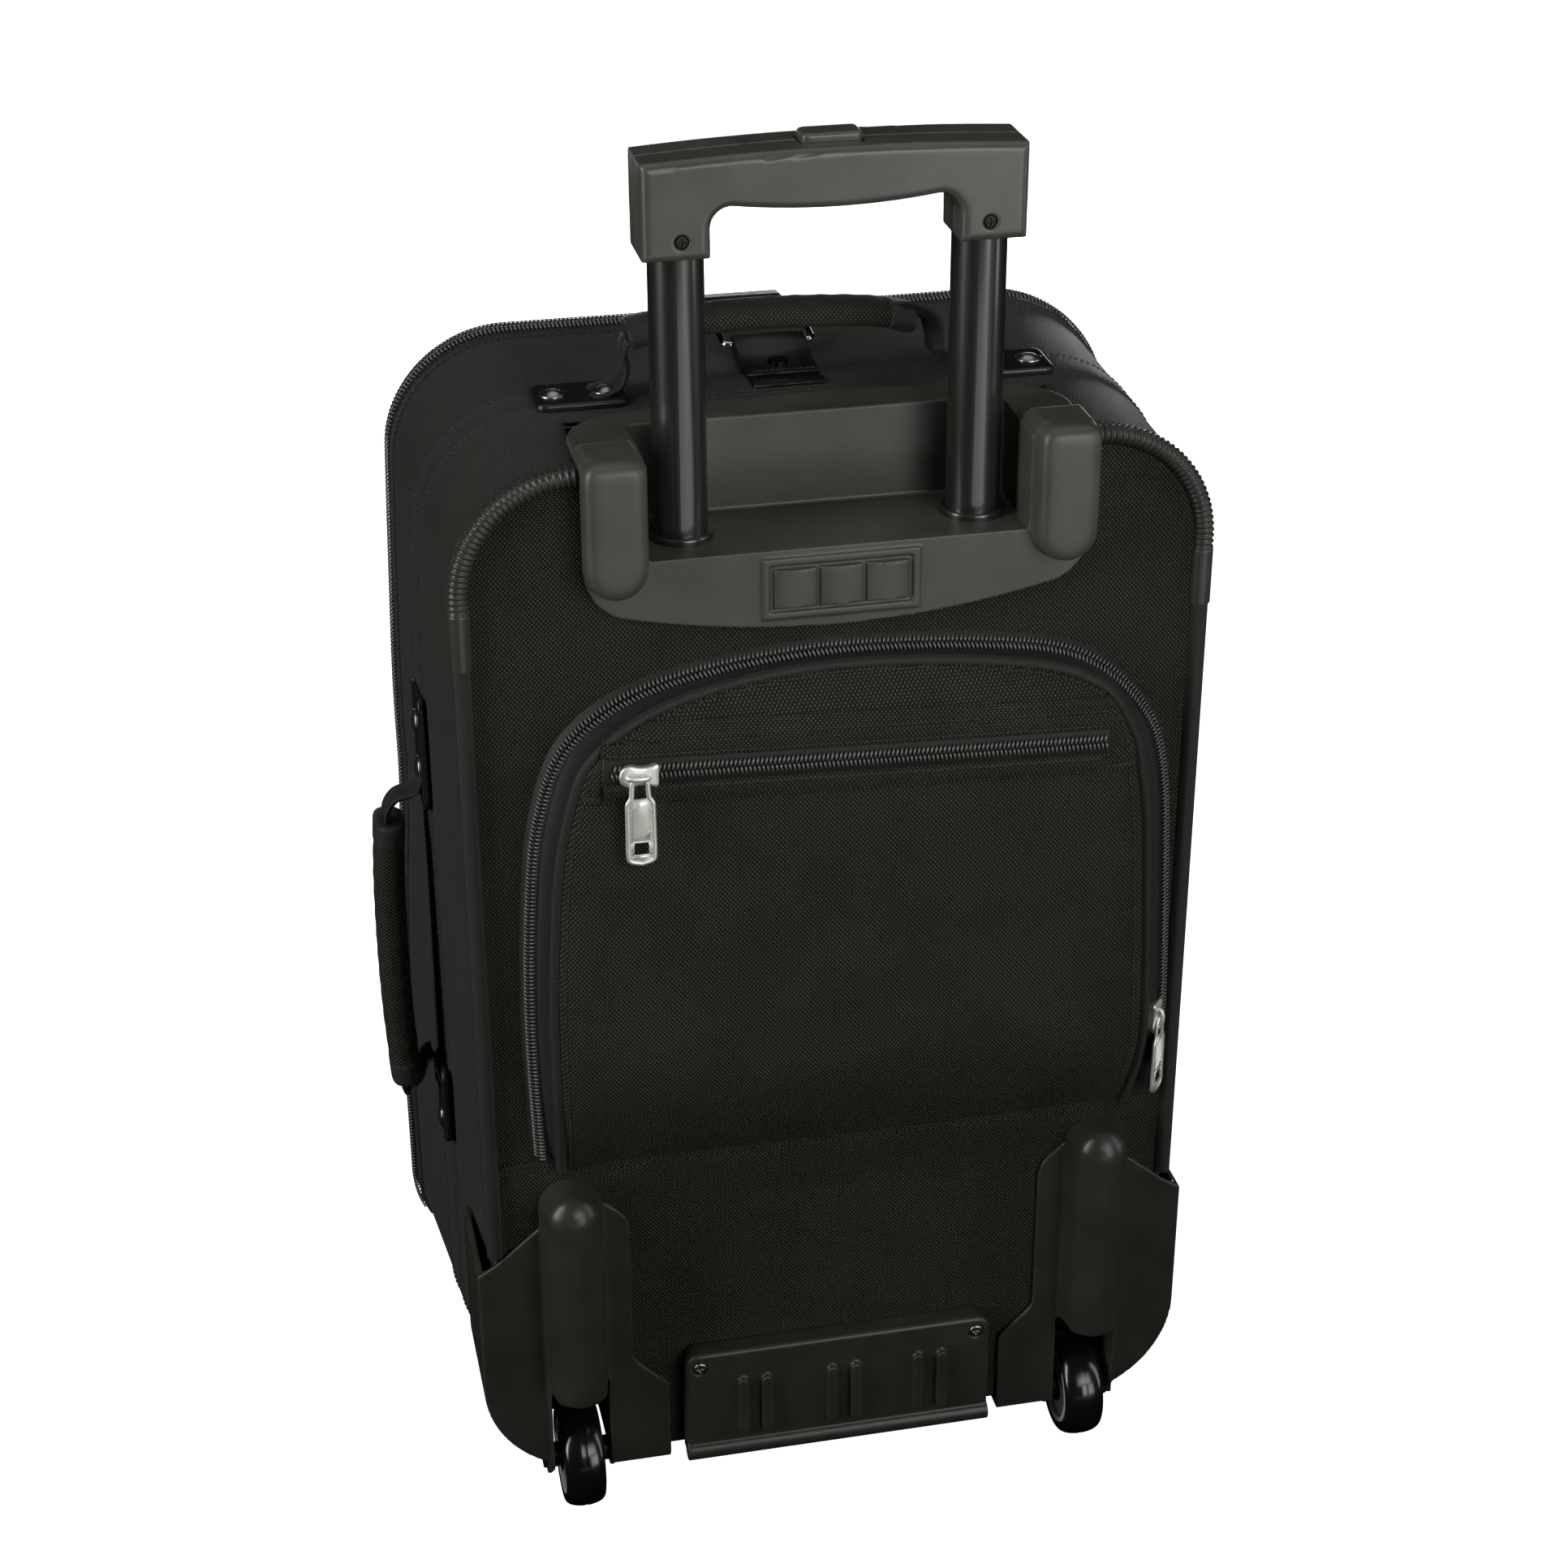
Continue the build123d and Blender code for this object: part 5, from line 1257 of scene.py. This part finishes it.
def metal_slider(name, body, origin, along, outward, replaces=()):
    """A zip slider: rounded nose, flared tail, domed top and a bridge for its pull."""
    edge = [(8.6, 0), (7.6, 3.2), (4.2, 5.1), (0.0, 4.3), (-4.0, 4.3), (-8.4, 5.2), (-8.8, 0)]
    half = curve(at_depth(0, edge), BACKWARDS, 0.7).points[:, (0, 2)]
    levels = [(0.9, 0.0), (0.93, 0.4), (0.9, 1.9), (0.97, 2.2), (1.0, 2.6)]
    levels += [(1.0, 3.2), (0.93, 3.7), (0.7, 4.0), (0.3, 4.1)]
    solid = Solid()
    loft(solid, np.vstack([half, half[::-1][1:-1] * [1, -1]]), levels)
    arch = [(5.4, 3.6), (5.0, 5.0), (3.2, 6.0), (0, 6.3), (-2.8, 5.9), (-4.4, 4.9), (-4.8, 3.6)]
    bridge = curve([(x, height, 0) for x, height in arch], (0.01, 1, 0), 0.5)
    bridge.out = unit(np.cross(UP, bridge.along))
    bridge.side = np.cross(bridge.along, bridge.out)
    solid.sweep(bridge, oval(1.25, 10, 0.62))
    piece(name, placed(solid, origin, along, outward), NICKEL, body, "zip_metal", replaces)


PULL_HALF, PULL_THICK = 5.6, 0.45
WINDOW_HALF = 3.6


def pull_rim(solid, length):
    """The pull's outer rim, with the open neck that hangs on the slider's bridge."""
    half = [(-1.3, 0), (-0.7, 2.2), (1.4, 3.3), (5.0, 3.6), (8.0, 3.9), (10.0, 5.0), (12.0, 5.6),
            (24.0, 5.7), (length - 3.6, 5.7), (length - 1.2, 4.4), (length, 0)]
    top = curve(at_depth(0, half), BACKWARDS, 0.8).points
    loop = np.vstack([top, top[::-1][1:] * [1, 1, -1]])
    solid.sweep(Path(loop, BACKWARDS), oval(1.15, 10, 0.85), caps=False)


def pull_field(solid, length, start, end):
    """The flat field inside the rim, left open at the window, which has a fine frame."""
    def bar(stations):
        rings = [[(x, -PULL_THICK, low), (x, PULL_THICK, low), (x, PULL_THICK, high), (x, -PULL_THICK, high)]
                 for x, low, high in stations]
        solid.tube(np.array(rings), np.zeros((len(rings), 4, 3)))

    bar([(8.6, -3.8, 3.8), (11.5, -5.3, 5.3), (start, -PULL_HALF, PULL_HALF)])
    bar([(end, -PULL_HALF, PULL_HALF), (length - 1.2, -4.2, 4.2)])
    for low, high in ((-PULL_HALF, -WINDOW_HALF), (WINDOW_HALF, PULL_HALF)):
        bar([(start, low, high), (end, low, high)])
    corners = [(start, -WINDOW_HALF), (start, WINDOW_HALF), (end, WINDOW_HALF), (end, -WINDOW_HALF)]
    corners = np.array(at_depth(PULL_THICK, [*corners, corners[0]]))
    for first, last in zip(corners, corners[1:]):
        solid.sweep(Path(np.linspace(first, last, 4), BACKWARDS), oval(0.42, 6))


def pull_relief(solid, length, end):
    """Slanted hatching over the field, and a row of dots down each edge."""
    for x in np.arange(10.0, end - 1.0, 0.95):
        line = np.linspace((x - 3.4, 0.5, -3.7), (x + 3.4, 0.5, 3.7), 12)
        line = line[(line[:, 0] > 11.0) & (line[:, 0] < end - 1.6)]
        if len(line) > 2:
            solid.sweep(Path(line, BACKWARDS), oval(0.2, 5))
    for x in np.arange(11.0, length - 2.0, 1.25):
        for z in (-4.4, 4.4):
            dot = [(x - 0.25, 0.35, z), (x, 0.62, z), (x + 0.25, 0.35, z)]
            solid.sweep(Path(dot, (0.01, 1, 0.01)), oval(0.32, 5))


def metal_pull(name, body, origin, along, outward, replaces=(), length=39.0):
    """A zip pull: a raised rim, a hatched field with a dotted edge, a small window and an open neck."""
    solid = Solid()
    window_start, window_end = length - 10.8, length - 4.4
    pull_rim(solid, length)
    pull_field(solid, length, window_start, window_end)
    pull_relief(solid, length, window_start)
    piece(name, placed(solid, origin, along, outward), NICKEL, body, "zip_metal", replaces)


def build_sliders():
    """The four sliders with their pulls, each on its own body, where the frame has them."""
    lean = math.radians(40)
    leaning = np.array([-math.cos(lean), math.sin(lean), 0.0])
    zips = (
        ("pocket_slider", "pocket_pull", -np.array(JOINTS["pocket_zip_slide"]["axis"]), BACKWARDS),
        ("u_zip_slider", "u_zip_pull", -UP, leaning),
        ("main_slider_upper", "main_pull_upper", UP, np.array([-1.0, 0, 0])),
        ("main_slider_lower", "main_pull_lower", -UP, np.array([-1.0, 0, 0])),
    )
    for slider, pull, along, outward in zips:
        low, high = span(slider)
        foot = (low + high) / 2
        foot = foot + outward * (np.dot(np.abs(outward), low - high) / 2 if slider != "u_zip_slider" else -3.0)
        hinge = np.array(JOINTS[f"{pull}_swing"]["pos_m"]) / MM
        metal_slider(f"{slider}_body", slider, foot, along, outward, (slider,))
        pull_low, pull_high = span(pull)
        down = (pull_low + pull_high) / 2 - hinge
        axis = np.array(JOINTS[f"{pull}_swing"]["axis"])
        down = unit(down - np.dot(down, axis) * axis)
        metal_pull(f"{pull}_tag", pull, hinge + down * 1.2, down, outward, (pull,),
                   length=np.linalg.norm(pull_high[2] - pull_low[2]) - 3.0)


# ---------------------------------------------------------------- carry handles and the leather tab


def padded_sleeve(name, body, node, line, outward, width, depth):
    """A stuffed sleeve of ballistic cloth over a flat core, narrower and bound at both ends."""
    path = curve(line, outward, 2.2)
    share = path.distance / path.distance[-1]
    end = np.minimum(share, 1 - share) * path.distance[-1]
    full = 0.8 + 0.2 * smooth(end, 0.0, 12.0)
    crease = 1 - 0.035 * np.sin(path.distance / 3.6) ** 2 * smooth(end, 6, 16)
    turn = np.linspace(0, 2 * np.pi, 40, endpoint=False) + np.pi
    square = np.stack([np.sign(np.cos(turn)) * np.abs(np.cos(turn)) ** 0.75 * depth / 2,
                       np.sign(np.sin(turn)) * np.abs(np.sin(turn)) ** 0.75 * width / 2], 1)
    sections = square[None] * (full * crease)[:, None, None]
    solid = Solid()
    solid.sweep(path, sections)
    made = piece(f"{name}_sleeve", solid, WEAVE, body, "handle_fabric", (node,))
    to_ends = [np.linalg.norm(vertices(made) - end, axis=1) for end in path.points[[0, -1]]]
    puff(made, 3.0, 0.9, np.minimum(*to_ends) < 15.0)
    cuffs, threads = Solid(), Solid()
    for start, stop in ((0.0, 13.0), (path.distance[-1] - 13.0, path.distance[-1])):
        cuff = path.part(start, stop, 1.0)
        middle = (cuff.distance / cuff.distance[-1] - 0.5) * 2
        hug = 0.86 + 0.17 * np.sqrt(np.maximum(0, 1 - middle**8))
        cuffs.sweep(cuff, square[None] * hug[:, None, None])
    under = path.part(14.0, path.distance[-1] - 14.0)
    for side in (1, -1):
        stitch(threads, under, out=-depth * 0.49, side=side * width * 0.2)
    piece(f"{name}_cuffs", cuffs, WEBBING, body, slot="webbing")
    stitching(name, threads, body, "webbing")


def strap(name, line, outward, widths, handle, start, end, turns=0.0, fold=1.0):
    """A length of webbing from a plate on the case up into a handle."""
    thickness = 2.3
    path = curve(line, outward, 1.2)
    share = path.distance / path.distance[-1]
    width = np.interp(share, np.linspace(0, 1, len(widths)), widths)
    flat = band(1.0, 1.0, 0.25)
    sections = flat[None] * np.stack([np.full_like(width, thickness), width], -1)[:, None]
    sections[..., 0] += fold * np.sin(np.pi * share)[:, None] * (np.abs(flat[None, :, 1]) * 2) ** 2 * thickness
    angle = turns * smooth(share, 0.2, 0.8)
    cosine, sine = np.cos(angle)[:, None], np.sin(angle)[:, None]
    high, wide = sections[..., 0], sections[..., 1]
    turned = np.stack([high * cosine - wide * sine, high * sine + wide * cosine], -1)
    solid = Solid()
    solid.sweep(path, turned)
    made = piece(name, solid, WEBBING, None, slot="webbing")
    [value * MM for value in start]
    [value * MM for value in end]
    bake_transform(made)


def screw_domes():
    """Wide domed screw heads with a raised rim, two on each handle plate."""
    places = vertices(frame["nodes"]["plate_screws"])
    solid = Solid()
    turn = np.linspace(0, 2 * np.pi, 32, endpoint=False)
    profile = [(6.2, 0), (6.2, 0.7), (5.6, 1.1), (4.9, 0.75), (4.5, 0.8), (3.4, 1.7), (1.9, 2.2), (0.5, 2.35)]
    radius, height = np.array(profile).T[..., None]
    first, second = radius * np.cos(turn), radius * np.sin(turn)
    while len(places):
        near = np.linalg.norm(places - places[0], axis=1) < 13.0
        screw = places[near]
        places = places[~near]
        on_top = screw[:, 2].min() > CASE_TOP - 14.0
        middle = (screw.min(0) + screw.max(0)) / 2
        axis = 2 if on_top else 0
        middle[axis] = span("handle_plates")[1][axis] - 0.2
        rows = xyz(first, second, height) if on_top else xyz(height, first, second)
        solid.grid(middle + rows, rows * 0, closed_columns=True)
    piece("plate_screw_domes", solid, STEEL, "case", "screw_steel", ("plate_screws",))


def build_top_handle():
    """The top carry handle: a padded sleeve between two lengths of webbing."""
    low, high = span("top_grip")
    y = (low[1] + high[1]) / 2
    top, plate = high[2], span("handle_plates")[1][2]
    right, left = high[0] - 1.5, low[0] + 24.0
    line = [(right, top - 15.5), (right - 22, top - 12.0), (right - 48, top - 10.4), (right - 80, top - 10.8),
            (left + 18, top - 13.0), (left - 1.0, top - 17.5)]
    padded_sleeve("top_handle", "top_handle", "top_grip", at_depth(y, line), UP, 25.0, 11.5)
    bend = (0, y, plate), (0, y, top - 14)
    line = [(right + 22, plate - 2.6), (right + 8, plate - 1.6), (right + 0.6, plate + 2.5),
            (right - 2.0, plate + 11), (right - 1.0, plate + 20), (right - 8.0, top - 13.0)]
    strap("top_handle_strap_right", at_depth(y, line), (1, 0, 1), (20, 20, 17, 15, 17, 19), "top_handle",
          *bend, fold=0.9)
    line = [(-right - 22, plate - 2.6), (-right - 6, plate - 1.6), (left - 19, plate + 1.5),
            (left - 10, plate + 7), (left - 9, plate + 16), (left - 7, plate + 23), (left + 6, top - 12.5)]
    strap("top_handle_strap_left", at_depth(y, line), (-1, 0, 1), (20, 20, 15, 13, 16, 19), "top_handle",
          *bend, turns=0.5, fold=1.2)


def build_side_handle():
    """The side carry handle, made in the same way."""
    low, high = span("side_grip")
    y = (low[1] + high[1]) / 2
    bottom, top = low[2], high[2]
    face, x = span("handle_plates")[1][0], high[0] - 8.2
    line = [(x - 1.0, bottom + 12), (x + 0.8, bottom + 50), (x + 1.2, bottom + 85), (x + 0.6, top - 45),
            (x - 1.4, top - 13)]
    padded_sleeve("side_handle", "side_handle", "side_grip", at_depth(y, line), (1, 0, 0), 25.0, 14.5)
    bend = (face, y, 0), (x - 1, y, 0)
    line = [(face - 2.4, top + 14), (face - 0.8, top + 2), (face + 4.5, top - 3.0), (x - 6, top - 5.0),
            (x - 2, top - 12), (x - 1, top - 26)]
    strap("side_handle_strap_upper", at_depth(y, line), (1, 0, 0.6), (20, 20, 15, 14, 17, 19), "side_handle",
          *bend)
    line = [(face - 2.6, bottom + 6), (face - 0.4, bottom + 19), (face + 4.0, bottom + 20.0),
            (face + 7.6, bottom + 10), (x - 4.0, bottom + 5.0), (x - 0.8, bottom + 12), (x - 0.6, bottom + 28)]
    strap("side_handle_strap_lower", at_depth(y, line), (1, 0, 0.3), (20, 19, 15, 13, 15, 18), "side_handle",
          *bend)


def build_carry_handles():
    """Both carry handles, their plates on the case and the plates' screws."""
    soften("handle_plates", "case", PLATE, "plate_plastic", 0.55, 2)
    build_top_handle()
    screw_domes()
    build_side_handle()


def build_leather_tab():
    """The leather tab that holds the ring: a strap folded over the ring's wire and riveted."""
    low, high = span("leather_tab")
    x = (low[0] + high[0]) / 2
    width = high[0] - low[0]
    rear, ground = high[1], low[2] + 0.2
    _, wire_y, wire_z = np.array(JOINTS["ring_swing"]["pos_m"]) / MM
    line = [(rear, ground), (rear - 26, ground), (wire_y + 4.0, ground + 0.4), (wire_y - 2.9, ground + 2.0),
            (wire_y - 4.6, wire_z), (wire_y - 2.0, wire_z + 3.2), (wire_y + 4.5, wire_z + 2.4),
            (wire_y + 12.0, ground + 3.4), (wire_y + 21.0, ground + 1.9), (rear - 13.0, ground + 1.8)]
    path = curve([(x, y, z) for y, z in line], UP, 0.8)
    path.side = np.broadcast_to(np.array([1.0, 0, 0]), path.side.shape)
    path.out = unit(np.cross(path.side, path.along))
    solid, threads = Solid(), Solid()
    solid.sweep(path, band(width, 1.7, 0.35) - [0.85, 0])
    tip = [(x, rear - 9.0, ground + 0.9), (x, rear - 4.0, ground + 1.3), (x, rear + 1.0, ground + 0.8)]
    solid.sweep(Path(tip, UP), band(width - 1.5, 1.2, 0.35))
    piece("leather_tab_strap", solid, LEATHER, "case", "leather", ("leather_tab",))
    top = path.distance[-1]
    edge = path.part(top - 27.0, top - 1.0, 0.8)
    for side in (-1, 1):
        stitch(threads, edge, out=-1.0, side=side * (width / 2 - 2.2), pitch=2.7)
    across = Path(xyz(x + np.array([-1, 0, 1]) * (width / 2 - 2), rear - 15.5, ground + 2.8), UP)
    stitch(threads, across, start=1.0, end=across.distance[-1], pitch=2.7)
    stitching("leather_tab", threads, slot="leather")
    tab = Solid()
    line = xyz(x - 2.4, ZIP_Y - np.array([8.0, 16.0, 24.0]), CASE_TOP + np.array([0.4, 1.6, 0.9]))
    tab.sweep(Path(line, UP), band(39.0, 2.6, 0.5))
    piece("lid_top_tab", tab, LEATHER, "lid", slot="leather")


# ---------------------------------------------------------------- mouldings, wheels and metal


def build_mouldings():
    """The moulded parts, with rounded edges."""
    def bumpers(places):
        return (np.abs(places[:, 0]) > 83.0) & (places[:, 1] > 4.6)

    def bumps(places):
        return (places[:, 1] > 5.0) & (places[:, 2] > 34.0)

    centre = (WELL_IN + WELL_OUT) / 2 + 1.0
    half, top, foot_y = 17.1, HOUSING_HIGH[2] + 1.6, 3.0

    def domed(place):
        """The bump behind each wheel is half round, with a domed top."""
        if place.y <= foot_y:
            return place
        away = math.hypot(abs(place.x) - centre, max(0.0, place.z - (top - half)))
        share = math.sqrt(max(0.02, 1.0 - (away / half) ** 2))
        return Vector((place.x, foot_y + (place.y - foot_y) * share, place.z))

    soften("trolley_cup", "case", CUP, "cup_plastic", 0.6, 2, (110, bumpers))
    soften("wheel_housings", "case", HOUSING, "housing_plastic", 0.95, 3, (25, bumps), domed)
    soften("skid_plate", "case", HOUSING, "housing_plastic", 0.6, 3)
    soften("front_feet", "case", HOUSING, "housing_plastic", 0.8, 4)
    soften("grip_rear", "handle", GRIP, "grip_plastic", 0.6, 3)
    soften("grip_front", "handle", GRIP, "grip_plastic", 0.6, 3)
    soften("push_button", "button", GRIP, "button_plastic", 0.5, 3)


def build_springs():
    """The button's return springs."""
    low, high = span("return_springs")
    coils = frame["nodes"]["return_springs"].data.copy()
    made = piece("return_spring_coils", coils, DARK_STEEL, "handle", "spring_steel", ("return_springs",))
    press = JOINTS["button_press"]["range_m"][1] / MM
    keep = 1 - press / (high[2] - low[2])
    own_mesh(made)


def build_wheels():
    """Glossy tyres with a parting line and rounded shoulders."""
    for side in ("right", "left"):
        low, high = span(f"wheel_tyre_{side}")
        centre = (low + high) / 2
        radius, half = (high[2] - low[2]) / 2, (high[0] - low[0]) / 2
        hub_low, hub_high = span(f"wheel_hub_{side}")
        bore = (hub_high[2] - hub_low[2]) / 2 + 0.1
        turn = np.linspace(-np.pi / 2, np.pi / 2, 31)
        crown = [(half * np.sin(a), bore + 2.0 + (radius - bore - 2.0) * np.cos(a) ** 0.8) for a in turn]
        crown = [(x, r - 0.25 * math.exp(-((x / 0.35) ** 2))) for x, r in crown]
        profile = np.array([(-half + 1.2, bore)] + crown + [(half - 1.2, bore)])
        angles = np.linspace(0, 2 * np.pi, 96, endpoint=False)[:, None]
        x, r = profile.T
        rows = centre + xyz(x, r * np.cos(angles), r * np.sin(angles))
        solid = Solid()
        solid.grid(rows, rows * 0, closed_rows=True, closed_columns=True)
        piece(f"wheel_{side}_tyre_gloss", solid, TYRE, f"wheel_{side}", "tyre", (f"wheel_tyre_{side}",))


# ---------------------------------------------------------------- stage

WHITE = (1.0, 1.0, 1.0, 1.0)


def area_light(name, place, target, width, height, power, spread=180):
    """A soft rectangular light that faces a point, unseen by the camera."""
    lamp = bpy.data.lights.new(name, "AREA")
    lamp.shape = "RECTANGLE"
    lamp.size = width
    lamp.size_y = height
    lamp.energy = power
    lamp.spread = math.radians(spread)
    made = bpy.data.objects.new(name, lamp)
    bpy.context.scene.collection.objects.link(made)
    made.location = place
    made.visible_camera = False
    made.rotation_euler = (Vector(target) - Vector(place)).to_track_quat("-Z", "Y").to_euler()


def build_floor():
    """A white floor that shines by itself and isn't reflected, just under the wheels."""
    shader = Shader("studio_floor", (0.9, 0.9, 0.9), 0.8, Specular_IOR_Level=0.1)
    shader.tint(shader.noise(400.0, 2.0), 0.995, 1.0)
    shader.surface.inputs["Emission Color"].default_value = WHITE
    shader.surface.inputs["Emission Strength"].default_value = 1.0
    mesh = bpy.data.meshes.new("floor")
    reach = 40.0
    corners = [(-reach, -reach, 0), (reach, -reach, 0), (reach, reach, 0), (-reach, reach, 0)]
    mesh.from_pydata(corners, [], [(0, 1, 2, 3)])
    mesh.materials.append(shader.material)
    floor = bpy.data.objects.new("floor", mesh)
    bpy.context.scene.collection.objects.link(floor)
    floor.location.z = -0.0004
    floor.visible_glossy = False
    floor.visible_diffuse = False


def build_world():
    """A white surround that the camera sees past the floor, but that lights nothing."""
    world = bpy.data.worlds.new("studio")
    scene = bpy.context.scene
    scene.world = world
    scene.view_settings.view_transform = "Standard"
    world.use_nodes = True
    background = world.node_tree.nodes["Background"]
    background.inputs["Color"].default_value = WHITE
    background.inputs["Strength"].default_value = 1.0
    world.cycles_visibility.diffuse = False
    world.cycles_visibility.glossy = False


def build_lights():
    """Soft studio lights round the case: place, target, width, height and power, and a spread."""
    middle = (0.0, -0.05, 0.35)
    area_light("key_softbox", (-0.45, 1.3, 1.1), (0.0, 0.0, 0.7), 1.0, 0.7, 2.0, spread=75)
    area_light("low_softbox", (-0.75, 1.5, 0.42), (0.0, 0.0, 0.3), 0.7, 0.6, 4.8)
    area_light("top_softbox", (-0.2, -0.3, 2.0), middle, 1.6, 1.4, 5.0)
    area_light("right_strip", (1.5, 0.35, 0.95), middle, 0.5, 1.6, 20.0)
    area_light("left_strip", (-1.5, 0.55, 0.8), middle, 0.4, 1.6, 5.0)
    area_light("front_fill", (-0.4, -2.2, 0.32), (0.0, -0.3, 0.25), 1.6, 0.5, 12.0)
    area_light("floor_card", (-0.35, 1.35, 0.01), (-0.35, 1.35, 1.0), 1.3, 1.0, 6.0)


def build_camera():
    """The camera behind, above and to the side of the case, set by its right-hand and backward directions."""
    lens = bpy.data.cameras.new("camera")
    lens.lens = 68.68
    lens.sensor_width = 36.0
    camera = bpy.data.objects.new("camera", lens)
    bpy.context.scene.collection.objects.link(camera)
    right = Vector((-0.97732, 0.21173, -0.00294))
    back = Vector((0.18650, 0.86729, 0.46155))
    above = back.cross(right)
    turned = Matrix((right, above, back)).transposed().to_4x4()
    camera.matrix_world = Matrix.Translation((0.27464, 1.16182, 1.01571)) @ turned
    bpy.context.scene.camera = camera


def build():
    """Every piece of the case, then the stage."""
    build_lid_pocket("lid_pocket_lower", 312.0, 4.0, 5.0)
    build_lid_pocket("lid_pocket_upper", 488.0, 4.0, 4.0)
    build_carry_handles()
    build_gusset()
    build_back_edge()
    build_wire_frame()
    build_back_panel()
    build_main_zip()
    build_lid()
    build_hinge_fold()
    build_back_pocket()
    build_sliders()
    build_leather_tab()
    build_mouldings()
    build_springs()
    build_wheels()
    finish_cad_nodes()
    build_floor()
    build_world()
    build_lights()
    build_camera()


build()
